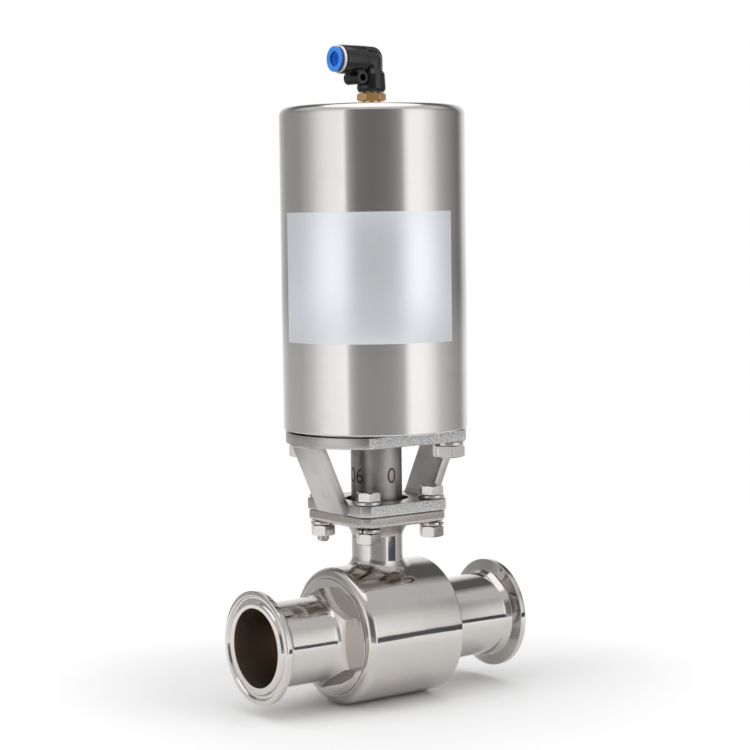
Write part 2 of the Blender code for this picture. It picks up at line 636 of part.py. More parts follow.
def neck_mesh():
    """The round neck: a foot that follows the body's curve, a plain shank and a flare to the flange."""
    def foot(spread, lift):
        ring = []
        for point in circle(NECK_RADIUS + spread, 0.0, INNER_SEGMENTS):
            surface = math.sqrt(BODY_RADIUS ** 2 - point.y ** 2)
            ring.append(Vector((point.x, point.y, surface + lift)))
        return ring

    rings = [foot(NECK_FOOT_SPREAD, -BODY_EDGE_RADIUS / 2.0)]
    for degrees in (0.0, 35.0, 90.0):
        angle = math.radians(degrees)
        rings.append(foot(NECK_FOOT_SPREAD * (1.0 - math.sin(angle)), NECK_FOOT_HEIGHT * (1.0 - math.cos(angle))))
    flare_start = NECK_FLANGE_BOTTOM - NECK_FLARE_HEIGHT
    for degrees in (0.0, 35.0, 90.0):
        angle = math.radians(degrees)
        rings.append(circle(NECK_RADIUS + NECK_FLARE_SPREAD * (1.0 - math.cos(angle)),
                            flare_start + NECK_FLARE_HEIGHT * math.sin(angle), INNER_SEGMENTS))
    rings.append(circle(NECK_RADIUS + NECK_FLARE_SPREAD, NECK_FLANGE_BOTTOM + NECK_FLANGE_EDGE, INNER_SEGMENTS))
    return skinned("neck_form", rings)


def neck_flange_mesh():
    """The square cast flange, with its lower edge broken."""
    lower = chamfered_square(NECK_FLANGE_WIDTH - 2.0 * NECK_FLANGE_EDGE, NECK_FLANGE_CORNER)
    outline = chamfered_square(NECK_FLANGE_WIDTH, NECK_FLANGE_CORNER)
    rings = [[Vector((x, y, NECK_FLANGE_BOTTOM)) for x, y in lower],
             [Vector((x, y, NECK_FLANGE_BOTTOM + NECK_FLANGE_EDGE)) for x, y in outline],
             [Vector((x, y, NECK_FLANGE_TOP)) for x, y in outline]]
    return skinned("neck_flange_form", rings)


def m6_centres():
    return circle(M6_CIRCLE_RADIUS, 0.0, 4, math.pi / 4.0)


def m8_centres():
    return circle(M8_CIRCLE_RADIUS, 0.0, 2, -math.pi / 4.0)


def valve_body():
    """Round body with the neck and the square flange in one piece, counterbored for the pipe end."""
    outline = [(-BODY_LEFT, 0.0)]
    outline += arc((-BODY_LEFT + BODY_EDGE_RADIUS, BODY_RADIUS - BODY_EDGE_RADIUS), BODY_EDGE_RADIUS, 180.0, 90.0, 3)
    outline += [(BODY_RIGHT - BODY_RIGHT_CHAMFER, BODY_RADIUS), (BODY_RIGHT, BODY_RADIUS - BODY_RIGHT_CHAMFER),
                (BODY_RIGHT, 0.0)]
    body = add_object("valve_body", turned("valve_body", outline, "X", PIPE_SEGMENTS, ring=False), "polished_steel")
    combine(body, neck_mesh(), "UNION")
    combine(body, neck_flange_mesh(), "UNION")
    start_x = -BODY_LEFT - TUBE_WALL
    end_x = BODY_RIGHT + TUBE_WALL
    counterbore_x = SPIGOT_X - SEAT_GAP
    socket = TUBE_RADIUS + SEAT_GAP
    bore = [(start_x, 0.0), (start_x, CAP_THREAD_BORE), (-SEAL_STEP_X, CAP_THREAD_BORE),
            (-SEAL_STEP_X, CHAMBER_RADIUS), (CHAMBER_END_X, CHAMBER_RADIUS), (CHAMBER_END_X, SEAT_POCKET_RADIUS),
            (SEAT_POCKET_X, SEAT_POCKET_RADIUS), (SEAT_POCKET_X, BORE_RADIUS), (counterbore_x, BORE_RADIUS),
            (counterbore_x, socket), (end_x, socket), (end_x, 0.0)]
    combine(body, turned("body_bore", bore, "X", PIPE_SEGMENTS, ring=False), "DIFFERENCE")
    counterbore = STEM_COLLAR_RADIUS + RUNNING_GAP
    box_top = NECK_FLANGE_TOP + NECK_FLANGE_EDGE
    stem_bore = [(BORE_RADIUS, 0.0), (BORE_RADIUS, counterbore), (COUNTERBORE_TOP, counterbore),
                 (COUNTERBORE_TOP, STEM_HOLE_RADIUS), (PACKING_FLOOR, STEM_HOLE_RADIUS),
                 (PACKING_FLOOR, PACKING_BOX_RADIUS), (box_top, PACKING_BOX_RADIUS), (box_top, 0.0)]
    combine(body, turned("stem_bore", stem_bore, "Z", SMALL_SEGMENTS, ring=False), "DIFFERENCE")
    holes = rods("neck_flange_holes", "Z", M6_RADIUS + BOLT_HOLE_CLEARANCE, NECK_FLANGE_BOTTOM - NECK_FLANGE_EDGE,
                 NECK_FLANGE_TOP + NECK_FLANGE_EDGE, m6_centres(), FASTENER_SEGMENTS)
    combine(body, holes, "DIFFERENCE")


def outlet_ferrule():
    """Right-hand pipe end: a tube set into the body up to its collar, with a clamp ferrule."""
    outline = [(SPIGOT_X, BORE_RADIUS), (SPIGOT_X, TUBE_RADIUS), (COLLAR_X, TUBE_RADIUS), (COLLAR_X, COLLAR_RADIUS),
               (BODY_RIGHT + COLLAR_LENGTH, COLLAR_RADIUS), (BODY_RIGHT + COLLAR_LENGTH, TUBE_RADIUS)]
    outline += ferrule_outline(1.0) + [(FACE_X, BORE_RADIUS)]
    add_object("outlet_ferrule", turned("outlet_ferrule", outline, "X", PIPE_SEGMENTS), "polished_steel")


def end_cap():
    """Screwed end cap: plug, hexagon with its turned cone, tube and left-hand pipe end."""
    hex_end = CAP_FACE_X + HEX_LENGTH
    cone_end = hex_end + HEX_CONE_LENGTH
    flat_radius = HEX_ACROSS_FLATS / 2.0
    root = (flat_radius + TUBE_RADIUS) / 2.0
    outline = [(-SEAT_POCKET_X, BORE_RADIUS), (-SEAT_POCKET_X, SEAT_POCKET_RADIUS),
               (-CAP_END_X, SEAT_POCKET_RADIUS), (-CAP_END_X, CAP_PLUG_RADIUS), (-CAP_FACE_X, CAP_PLUG_RADIUS),
               (-CAP_FACE_X, HEX_BLANK_RADIUS), (-hex_end, HEX_BLANK_RADIUS), (-cone_end, flat_radius),
               (-cone_end - HEX_ROOT_LENGTH / 2.0, root), (-cone_end - HEX_ROOT_LENGTH, TUBE_RADIUS)]
    outline += ferrule_outline(-1.0) + [(-FACE_X, BORE_RADIUS)]
    cap = add_object("end_cap", turned("end_cap", outline, "X", PIPE_SEGMENTS), "polished_steel")
    cutter = flats_cutter("cap_hexagon", HEX_ACROSS_FLATS, 6, BODY_RADIUS, CAP_FACE_X, cone_end + HEX_ROOT_LENGTH)
    cutter.transform(Matrix.Rotation(-QUARTER_TURN, 4, "Y"))
    combine(cap, cutter, "DIFFERENCE")


def ball():
    """Ball with its bore across the pipe, and a slot on top for the stem's tang."""
    bm = bmesh.new()
    bmesh.ops.create_uvsphere(bm, u_segments=INNER_SEGMENTS, v_segments=10, radius=BALL_RADIUS)
    piece = add_object("ball", close_mesh("ball", bm), "polished_steel")
    bore = rods("ball_bore", "Y", BORE_RADIUS, -BODY_RADIUS, BODY_RADIUS, [(0.0, 0.0, 0.0)], INNER_SEGMENTS)
    combine(piece, bore, "DIFFERENCE")
    half = TANG_WIDTH / 2.0 + SEAT_GAP
    slot = box("ball_slot", (-BALL_RADIUS, -half, BALL_SLOT_FLOOR), (BALL_RADIUS, half, BODY_RADIUS))
    combine(piece, slot, "DIFFERENCE")


def seat_ring(name, side):
    """Seat with a spherical lip that the ball turns against; side is -1 or 1 along X."""
    middle = (SEAT_CONTACT_RADIUS + BORE_RADIUS) / 2.0
    lip = [(math.sqrt(SEAT_SPHERE ** 2 - radius ** 2), radius) for radius in (SEAT_CONTACT_RADIUS, middle, BORE_RADIUS)]
    outline = lip + [(SEAT_BACK_X, BORE_RADIUS), (SEAT_BACK_X, SEAT_RADIUS), (SEAT_FRONT_X, SEAT_RADIUS)]
    outline = [(side * x, radius) for x, radius in outline]
    add_object(name, turned(name, outline, "X", INNER_SEGMENTS), "white_polymer")


def body_seal():
    front = SEAL_STEP_X + SEAT_GAP
    back = front + BODY_SEAL_THICKNESS
    outline = [(-front, BODY_SEAL_INNER), (-front, CAP_PLUG_RADIUS), (-back, CAP_PLUG_RADIUS),
               (-back, BODY_SEAL_INNER)]
    add_object("body_seal", turned("body_seal", outline, "X", INNER_SEGMENTS), "white_polymer")


def valve_stem():
    """Stem with a tang in the ball's slot, a blow-out collar and a square top end."""
    tang_bottom = BALL_SLOT_FLOOR + SEAT_GAP
    outline = [(tang_bottom, 0.0), (tang_bottom, STEM_COLLAR_RADIUS - SEAT_GAP),
               (STEM_COLLAR_BOTTOM, STEM_COLLAR_RADIUS - SEAT_GAP), (STEM_COLLAR_BOTTOM, STEM_COLLAR_RADIUS),
               (STEM_COLLAR_TOP, STEM_COLLAR_RADIUS), (STEM_COLLAR_TOP, STEM_RADIUS),
               (STEM_TOP, STEM_RADIUS), (STEM_TOP, 0.0)]
    stem = add_object("valve_stem", turned("valve_stem", outline, "Z", SMALL_SEGMENTS, ring=False), "brushed_steel")
    for side in (-1.0, 1.0):
        near = side * TANG_WIDTH / 2.0
        far = side * STEM_COLLAR_RADIUS * 2.0
        low = (-BALL_RADIUS, min(near, far), BALL_SLOT_FLOOR - SEAT_GAP)
        high = (BALL_RADIUS, max(near, far), STEM_COLLAR_BOTTOM)
        combine(stem, box("tang_side", low, high), "DIFFERENCE")
    square = flats_cutter("stem_square", STEM_SQUARE, 4, SLEEVE_RADIUS, STEM_SHOULDER, STEM_TOP + SEAT_GAP,
                          math.pi / 4.0)
    combine(stem, square, "DIFFERENCE")


def washer(name, inner, outer, bottom, thickness, segments, finish):
    outline = [(bottom, inner), (bottom, outer), (bottom + thickness, outer), (bottom + thickness, inner)]
    add_object(name, turned(name, outline, "Z", segments), finish)


def gland_nut():
    """Screwed gland nut, with a driver slot across its top."""
    outline = [(GLAND_NUT_BOTTOM, STEM_HOLE_RADIUS), (GLAND_NUT_BOTTOM, PACKING_RADIUS),
               (GLAND_NUT_TOP, PACKING_RADIUS), (GLAND_NUT_TOP, STEM_HOLE_RADIUS)]
    nut = add_object("gland_nut", turned("gland_nut", outline, "Z", SMALL_SEGMENTS), "brushed_steel")
    half = GLAND_SLOT_WIDTH / 2.0
    slot = box("gland_slot", (-SLEEVE_RADIUS, -half, GLAND_NUT_TOP - GLAND_SLOT_DEPTH),
               (SLEEVE_RADIUS, half, BRACKET_BOTTOM))
    combine(nut, slot, "DIFFERENCE")


def coupling_sleeve():
    """Round sleeve, broached square below for the stem and wider above for the actuator's shaft."""
    chamfered = SLEEVE_RADIUS - SLEEVE_CHAMFER
    outline = [(SLEEVE_BOTTOM, 0.0), (SLEEVE_BOTTOM, chamfered), (SLEEVE_BOTTOM + SLEEVE_CHAMFER, SLEEVE_RADIUS),
               (SLEEVE_TOP - SLEEVE_CHAMFER, SLEEVE_RADIUS), (SLEEVE_TOP, chamfered), (SLEEVE_TOP, 0.0)]
    mesh = turned("coupling_sleeve", outline, "Z", INNER_SEGMENTS, ring=False)
    sleeve = add_object("coupling_sleeve", mesh, "blasted_steel")
    half = STEM_SQUARE / 2.0 + SEAT_GAP
    lower = box("sleeve_lower_square", (-half, -half, BRACKET_BOTTOM), (half, half, STEM_TOP + SHAFT_END_GAP))
    half = DRIVE_SQUARE / 2.0 + SEAT_GAP
    upper = box("sleeve_upper_square", (-half, -half, STEM_TOP), (half, half, TOP_PLATE_TOP))
    combine(sleeve, lower, "DIFFERENCE")
    combine(sleeve, upper, "DIFFERENCE")


def mounting_bracket():
    """Welded bracket: square base plate, two leaning legs and a round top plate with two flats."""
    base = prism("mounting_bracket", chamfered_square(BASE_PLATE_WIDTH, BASE_PLATE_CORNER), BRACKET_BOTTOM,
                 BASE_PLATE_TOP)
    bracket = add_object("mounting_bracket", base, "brushed_steel")
    for side in (-1.0, 1.0):
        rings = []
        for y in (-LEG_WIDTH / 2.0, LEG_WIDTH / 2.0):
            rings.append([Vector((side * LEG_FOOT_X, y, BRACKET_BOTTOM)),
                          Vector((side * LEG_HEAD_X, y, TOP_PLATE_BOTTOM + SLEEVE_HEAD_RISE)),
                          Vector((side * (LEG_HEAD_X - LEG_THICKNESS), y, TOP_PLATE_BOTTOM + SLEEVE_HEAD_RISE)),
                          Vector((side * (LEG_FOOT_X - LEG_THICKNESS), y, BRACKET_BOTTOM))])
        combine(bracket, skinned("bracket_leg", rings), "UNION")
    top_plate = prism("bracket_top_plate", flatted_disc(TOP_PLATE_RADIUS, TOP_PLATE_HALF_WIDTH, BARREL_SEGMENTS),
                      TOP_PLATE_BOTTOM, TOP_PLATE_TOP)
    combine(bracket, top_plate, "UNION")
    below = BRACKET_BOTTOM - PLATE_THICKNESS
    above = TOP_PLATE_TOP + PLATE_THICKNESS
    passage = rods("sleeve_passage", "Z", SLEEVE_RADIUS + SLEEVE_HOLE_CLEARANCE, below, above,
                   [(0.0, 0.0, 0.0)], INNER_SEGMENTS)
    combine(bracket, passage, "DIFFERENCE")
    base_holes = rods("base_plate_holes", "Z", M6_RADIUS + BOLT_HOLE_CLEARANCE, below,
                      BASE_PLATE_TOP + SLEEVE_FOOT_LIFT, m6_centres(), FASTENER_SEGMENTS)
    combine(bracket, base_holes, "DIFFERENCE")
    top_holes = rods("top_plate_holes", "Z", M8_RADIUS + BOLT_HOLE_CLEARANCE, TOP_PLATE_BOTTOM - SLEEVE_FOOT_LIFT,
                     above, m8_centres(), FASTENER_SEGMENTS)
    combine(bracket, top_holes, "DIFFERENCE")


def hex_bolt_mesh(name, across_flats, head_height, radius, length):
    """Hexagon bolt: head above the origin, shank below it."""
    count = FASTENER_SEGMENTS
    rings = [circle(across_flats / 2.0 - SEAT_GAP, head_height, count),
             hexagon(across_flats, head_height - HEX_END_CHAMFER), hexagon(across_flats, 0.0),
             circle(radius, 0.0, count), circle(radius, -length, count)]
    return skinned(name, rings)


def hex_nut_mesh(name, across_flats, height, radius):
    """Hexagon nut hanging below the origin, chamfered at its free end."""
    count = FASTENER_SEGMENTS
    rings = [circle(radius, 0.0, count), hexagon(across_flats, 0.0),
             hexagon(across_flats, -height + HEX_END_CHAMFER), circle(across_flats / 2.0 - SEAT_GAP, -height, count),
             circle(radius, -height, count)]
    return skinned(name, rings, closed=True)


def spring_washer_mesh(name, inner, outer, thickness):
    """Split washer hanging below the origin."""
    outline = [(0.0, inner), (0.0, outer), (-thickness, outer), (-thickness, inner)]
    return turned(name, outline, "Z", WASHER_SEGMENTS, degrees=360.0 - SPRING_WASHER_SPLIT_DEGREES)


def flat_washer_mesh(name, inner, outer, thickness):
    """Flat washer standing on the origin."""
    outline = [(0.0, inner), (0.0, outer), (thickness, outer), (thickness, inner)]
    return turned(name, outline, "Z", WASHER_SEGMENTS)


def bracket_bolts():
    """Four bolts down through the base plate and the neck flange, each with its washers and nut."""
    hole = M6_RADIUS + SEAT_GAP
    bolt = hex_bolt_mesh("m6_bolt", M6_ACROSS_FLATS, M6_HEAD_HEIGHT, M6_RADIUS, M6_LENGTH)
    nut = hex_nut_mesh("m6_nut", M6_ACROSS_FLATS, M6_NUT_HEIGHT, hole)
    flat = flat_washer_mesh("m6_washer", hole, M6_WASHER_RADIUS, M6_WASHER_THICKNESS)
    split = spring_washer_mesh("m6_spring_washer", hole, M6_SPRING_WASHER_RADIUS, M6_SPRING_WASHER_THICKNESS)
    washer_z = BASE_PLATE_TOP + SEAT_GAP
    head_z = washer_z + M6_WASHER_THICKNESS + SEAT_GAP
    split_z = NECK_FLANGE_BOTTOM - SEAT_GAP
    nut_z = split_z - M6_SPRING_WASHER_THICKNESS - SEAT_GAP
    for index, (centre, degrees) in enumerate(zip(m6_centres(), M6_HEAD_TURNS_DEGREES), start=1):
        turn = (0.0, 0.0, math.radians(degrees))
        add_object(f"bracket_bolt_{index}", bolt, "bolt_steel", (centre.x, centre.y, head_z), turn)
        add_object(f"bracket_washer_{index}", flat, "bolt_steel", (centre.x, centre.y, washer_z), turn)
        add_object(f"bracket_spring_washer_{index}", split, "bolt_steel", (centre.x, centre.y, split_z), turn)
        add_object(f"bracket_nut_{index}", nut, "bolt_steel", (centre.x, centre.y, nut_z), turn)


def actuator_bolts():
    """Two bolts up through the top plate into the actuator's end cover, each on a split washer."""
    hole = M8_RADIUS + SEAT_GAP
    bolt = hex_bolt_mesh("m8_bolt", M8_ACROSS_FLATS, M8_HEAD_HEIGHT, M8_RADIUS, M8_LENGTH)
    split = spring_washer_mesh("m8_spring_washer", hole, M8_SPRING_WASHER_RADIUS, M8_SPRING_WASHER_THICKNESS)
    split_z = TOP_PLATE_BOTTOM - SEAT_GAP
    head_z = split_z - M8_SPRING_WASHER_THICKNESS - SEAT_GAP
    for index, (centre, degrees) in enumerate(zip(m8_centres(), M8_HEAD_TURNS_DEGREES), start=1):
        add_object(f"actuator_bolt_{index}", bolt, "bolt_steel", (centre.x, centre.y, head_z),
                   (math.pi, 0.0, math.radians(degrees)))
        add_object(f"actuator_spring_washer_{index}", split, "bolt_steel", (centre.x, centre.y, split_z),
                   (0.0, 0.0, math.radians(degrees)))


def actuator_barrel():
    """Drawn steel can, open below, with an air port in its top and a groove for the retaining ring."""
    port = STUD_THREAD_RADIUS + SEAT_GAP
    boss_bottom = BARREL_CEILING - PORT_BOSS_HEIGHT
    groove_bottom = SNAP_RING_TOP - SNAP_RING_THICKNESS - SEAT_GAP
    groove = SNAP_RING_OUTER + SEAT_GAP
    outline = [(BARREL_TOP, port)]
    outline += [(along, radial) for radial, along in
                arc((BARREL_RADIUS - BARREL_EDGE_RADIUS, BARREL_TOP - BARREL_EDGE_RADIUS),
                    BARREL_EDGE_RADIUS, 90.0, 0.0, 3)]
    outline += [(BARREL_BOTTOM + BARREL_FOOT_CHAMFER, BARREL_RADIUS),
                (BARREL_BOTTOM, BARREL_RADIUS - BARREL_FOOT_CHAMFER), (BARREL_BOTTOM, BARREL_BORE),
                (groove_bottom, BARREL_BORE), (groove_bottom, groove), (COVER_STEP_TOP, groove),
                (COVER_STEP_TOP, BARREL_BORE), (BARREL_CEILING, BARREL_BORE), (BARREL_CEILING, PORT_BOSS_RADIUS),
                (boss_bottom, PORT_BOSS_RADIUS), (boss_bottom, port)]
    add_object("actuator_barrel", turned("actuator_barrel", outline, "Z", BARREL_SEGMENTS), "brushed_steel")


def end_cover():
    """Thick disc that closes the barrel: shaft bore, seal groove, two tapped holes and a keyed recess."""
    seal_top = COVER_TOP - COVER_SEAL_FROM_TOP + COVER_SEAL_SECTION / 2.0 + SEAT_GAP / 2.0
    seal_bottom = seal_top - COVER_SEAL_SECTION - SEAT_GAP
    floor = COVER_RADIUS - COVER_SEAL_SECTION
    outline = [(COVER_BOTTOM, COVER_HOLE_RADIUS), (COVER_BOTTOM, COVER_STEP_RADIUS),
               (COVER_STEP_TOP, COVER_STEP_RADIUS), (COVER_STEP_TOP, COVER_RADIUS), (seal_bottom, COVER_RADIUS),
               (seal_bottom, floor), (seal_top, floor), (seal_top, COVER_RADIUS), (COVER_TOP, COVER_RADIUS),
               (COVER_TOP, COVER_BORE), (COVER_LIP_TOP, COVER_BORE), (COVER_LIP_TOP, COVER_HOLE_RADIUS)]
    cover = add_object("end_cover", turned("end_cover", outline, "Z", BARREL_SEGMENTS), "aluminium")
    keyed = flatted_disc(GUIDE_FLANGE_RADIUS + SEAT_GAP, GUIDE_FLANGE_HALF_WIDTH + SEAT_GAP, INNER_SEGMENTS)
    recess = prism("cover_recess", keyed, COVER_RECESS_FLOOR, COVER_TOP + COVER_RECESS_DEPTH)
    combine(cover, recess, "DIFFERENCE")
    holes = rods("cover_tapped_holes", "Z", M8_RADIUS + BOLT_HOLE_CLEARANCE, COVER_BOTTOM - PLATE_THICKNESS,
                 M8_HOLE_TOP, m8_centres(), FASTENER_SEGMENTS)
    combine(cover, holes, "DIFFERENCE")


def cover_seal():
    radius = COVER_SEAL_SECTION / 2.0 - SEAT_GAP / 4.0
    outline = torus_profile(COVER_TOP - COVER_SEAL_FROM_TOP, COVER_RADIUS - COVER_SEAL_SECTION / 2.0 + SEAT_GAP / 2.0,
                            radius)
    add_object("cover_seal", turned("cover_seal", outline, "Z", BARREL_SEGMENTS), "seal_rubber")


def retaining_ring():
    """Open ring sprung into the barrel's groove under the end cover's shoulder."""
    bottom = SNAP_RING_TOP - SNAP_RING_THICKNESS
    outline = [(bottom, SNAP_RING_INNER), (bottom, SNAP_RING_OUTER), (SNAP_RING_TOP, SNAP_RING_OUTER),
               (SNAP_RING_TOP, SNAP_RING_INNER)]
    opening = 360.0 * SNAP_RING_OPENING_SEGMENTS / BARREL_SEGMENTS
    mesh = turned("retaining_ring", outline, "Z", BARREL_SEGMENTS - SNAP_RING_OPENING_SEGMENTS,
                  degrees=360.0 - opening)
    add_object("retaining_ring", mesh, "spring_steel",
               rotation=(0.0, 0.0, QUARTER_TURN + math.radians(opening / 2.0)))


def shaft_seal():
    outline = torus_profile(COVER_LIP_TOP + SEAT_GAP + SHAFT_SEAL_SECTION / 2.0,
                            (SHAFT_RADIUS + COVER_BORE) / 2.0, SHAFT_SEAL_SECTION / 2.0)
    add_object("shaft_seal", turned("shaft_seal", outline, "Z", INNER_SEGMENTS), "seal_rubber")


def drive_rotor():
    """Output shaft whose hollow top has two helical slots, a quarter turn over the piston's stroke."""
    blank = DRIVE_SQUARE / 2.0 / math.cos(math.pi / 4.0) + SEAT_GAP
    outline = [(SHAFT_BOTTOM, 0.0), (SHAFT_BOTTOM, blank), (TOP_PLATE_TOP, blank), (TOP_PLATE_TOP, SHAFT_RADIUS),
               (ROTOR_COLLAR_BOTTOM, SHAFT_RADIUS), (ROTOR_COLLAR_BOTTOM, ROTOR_COLLAR_RADIUS),
               (ROTOR_COLLAR_TOP, ROTOR_COLLAR_RADIUS), (ROTOR_COLLAR_TOP, ROTOR_RADIUS),
               (ROTOR_TOP, ROTOR_RADIUS), (ROTOR_TOP, ROTOR_RADIUS - ROTOR_WALL),
               (ROTOR_BORE_BOTTOM, ROTOR_RADIUS - ROTOR_WALL), (ROTOR_BORE_BOTTOM, 0.0)]
    rotor = add_object("drive_rotor", turned("drive_rotor", outline, "Z", INNER_SEGMENTS, ring=False),
                       "brushed_steel")
    square = flats_cutter("shaft_square", DRIVE_SQUARE, 4, SLEEVE_RADIUS, SHAFT_BOTTOM - SEAT_GAP, TOP_PLATE_TOP,
                          math.pi / 4.0)
    combine(rotor, square, "DIFFERENCE")
    for name, angle in (("rotor_slot_back", QUARTER_TURN), ("rotor_slot_front", -QUARTER_TURN)):
        cutter = slot_cutter(name, angle, -QUARTER_TURN, ROTOR_SLOT_HALF_WIDTH, PIN_Z, PIN_Z - PISTON_STROKE,
                             ROTOR_RADIUS - ROTOR_WALL - 4.0 * SEAT_GAP, ROTOR_RADIUS + 4.0 * SEAT_GAP)
        combine(rotor, cutter, "DIFFERENCE")


def guide_tube():
    """Fixed tube round the rotor: two straight slots for the cross pin, and a flange keyed by its flats."""
    outline = [(GUIDE_BOTTOM, GUIDE_COUNTERBORE), (GUIDE_BOTTOM, GUIDE_FLANGE_RADIUS),
               (GUIDE_FLANGE_TOP, GUIDE_FLANGE_RADIUS), (GUIDE_FLANGE_TOP, GUIDE_RADIUS), (GUIDE_TOP, GUIDE_RADIUS),
               (GUIDE_TOP, GUIDE_BORE), (GUIDE_COUNTERBORE_TOP, GUIDE_BORE),
               (GUIDE_COUNTERBORE_TOP, GUIDE_COUNTERBORE)]
    guide = add_object("guide_tube", turned("guide_tube", outline, "Z", INNER_SEGMENTS), "brushed_steel")
    for side in (-1.0, 1.0):
        near = side * GUIDE_FLANGE_HALF_WIDTH
        far = side * BARREL_RADIUS
        low = (-BARREL_RADIUS, min(near, far), COVER_BOTTOM)
        high = (BARREL_RADIUS, max(near, far), GUIDE_COUNTERBORE_TOP)
        combine(guide, box("guide_flat", low, high), "DIFFERENCE")
    for name, angle in (("guide_slot_back", QUARTER_TURN), ("guide_slot_front", -QUARTER_TURN)):
        cutter = slot_cutter(name, angle, 0.0, GUIDE_SLOT_HALF_WIDTH, PIN_Z, PIN_Z - PISTON_STROKE,
                             GUIDE_BORE - 4.0 * SEAT_GAP, GUIDE_RADIUS + 4.0 * SEAT_GAP)
        combine(guide, cutter, "DIFFERENCE")


def piston():
    """Piston with grooves for its seal and wear ring, and a skirt that carries the cross pin."""
    wear_bottom = PISTON_UNDERSIDE + WEAR_RING_LIFT - SEAT_GAP
    wear_top = wear_bottom + WEAR_RING_HEIGHT + 2.0 * SEAT_GAP
    wear_floor = PISTON_RADIUS - WEAR_RING_DEPTH
    seal_top = PISTON_TOP - PISTON_SEAL_SINK + SEAT_GAP
    seal_bottom = seal_top - PISTON_SEAL_HEIGHT - 2.0 * SEAT_GAP
    seal_floor = PISTON_RADIUS - PISTON_SEAL_DEPTH
    recess = PORT_BOSS_RADIUS + PISTON_RECESS_CLEARANCE
    recess_floor = PISTON_TOP - PISTON_RECESS_DEPTH
    outline = [(PISTON_UNDERSIDE, 0.0), (PISTON_UNDERSIDE, SKIRT_BORE), (SKIRT_BOTTOM, SKIRT_BORE),
               (SKIRT_BOTTOM, SKIRT_RADIUS), (PISTON_UNDERSIDE, SKIRT_RADIUS), (PISTON_UNDERSIDE, PISTON_RADIUS),
               (wear_bottom, PISTON_RADIUS), (wear_bottom, wear_floor), (wear_top, wear_floor),
               (wear_top, PISTON_RADIUS), (seal_bottom, PISTON_RADIUS), (seal_bottom, seal_floor),
               (seal_top, seal_floor), (seal_top, PISTON_RADIUS), (PISTON_TOP, PISTON_RADIUS - PISTON_EDGE),
               (PISTON_TOP, recess), (recess_floor, recess), (recess_floor, 0.0)]
    piece = add_object("piston", turned("piston", outline, "Z", BARREL_SEGMENTS, ring=False), "aluminium")
    holes = rods("pin_holes", "Y", PIN_RADIUS + SEAT_GAP, -BARREL_RADIUS, BARREL_RADIUS, [(0.0, 0.0, PIN_Z)],
                 FASTENER_SEGMENTS)
    combine(piece, holes, "DIFFERENCE")


def wear_ring():
    bottom = PISTON_UNDERSIDE + WEAR_RING_LIFT
    top = bottom + WEAR_RING_HEIGHT
    inner = PISTON_RADIUS - WEAR_RING_DEPTH + SEAT_GAP
    outer = BARREL_BORE - SEAT_GAP
    outline = [(bottom, inner), (bottom, outer), (top, outer), (top, inner)]
    add_object("wear_ring", turned("wear_ring", outline, "Z", BARREL_SEGMENTS), "white_polymer")


def piston_seal():
    """Lip seal, hollowed on the air side."""
    top = PISTON_TOP - PISTON_SEAL_SINK
    bottom = top - PISTON_SEAL_HEIGHT
    inner = PISTON_RADIUS - PISTON_SEAL_DEPTH + SEAT_GAP
    outer = BARREL_BORE - SEAT_GAP
    outline = [(bottom, inner), (bottom, outer), (top, outer), (top - PISTON_SEAL_HEIGHT / 2.0, (inner + outer) / 2.0),
               (top, inner)]
    add_object("piston_seal", turned("piston_seal", outline, "Z", BARREL_SEGMENTS), "seal_rubber")


def cross_pin():
    half = SKIRT_RADIUS - SEAT_GAP
    mesh = rods("cross_pin", "Y", PIN_RADIUS, -half, half, [(0.0, 0.0, 0.0)], FASTENER_SEGMENTS)
    add_object("cross_pin", mesh, "spring_steel", (0.0, 0.0, PIN_Z))


def pin_roller(name, side):
    """Roller on the cross pin, inside the rotor's helical slot; side is -1 or 1 along Y."""
    near = ROTOR_RADIUS - ROTOR_WALL + RUNNING_GAP
    far = ROTOR_RADIUS - RUNNING_GAP
    outline = [(side * near, ROLLER_BORE), (side * near, ROLLER_RADIUS), (side * far, ROLLER_RADIUS),
               (side * far, ROLLER_BORE)]
    add_object(name, turned(name, outline, "Y", FASTENER_SEGMENTS), "bronze", (0.0, 0.0, PIN_Z))


def return_spring():
    """Coil spring round the piston's skirt, with one closed turn at each end."""
    curve = bpy.data.curves.new("return_spring", "CURVE")
    curve.dimensions = "3D"
    curve.bevel_depth = SPRING_WIRE_RADIUS
    curve.bevel_resolution = 1
    curve.use_fill_caps = True
    low = SPRING_BOTTOM + SPRING_WIRE_RADIUS
    high = SPRING_TOP - SPRING_WIRE_RADIUS
    closed_rise = 2.0 * SPRING_WIRE_RADIUS + SEAT_GAP
    count = int(SPRING_TURNS * SPRING_POINTS_PER_TURN)
    spline = curve.splines.new("POLY")
    spline.points.add(count)
    for index in range(count + 1):
        turns = SPRING_TURNS * index / count
        middle = (turns - 1.0) / (SPRING_TURNS - 2.0)
        if turns < 1.0:
            z = low + closed_rise * turns
        elif turns > SPRING_TURNS - 1.0:
            z = high - closed_rise * (SPRING_TURNS - turns)
        else:
            z = low + closed_rise + (high - low - 2.0 * closed_rise) * middle
        point = turn_points(2.0 * math.pi * turns, SPRING_RADIUS, z)
        spline.points[index].co = (*point, 1.0)
    spring = bpy.data.objects.new("return_spring", curve)
    bpy.context.scene.collection.objects.link(spring)
    curve.materials.append(make_material("return_spring", "spring_steel"))


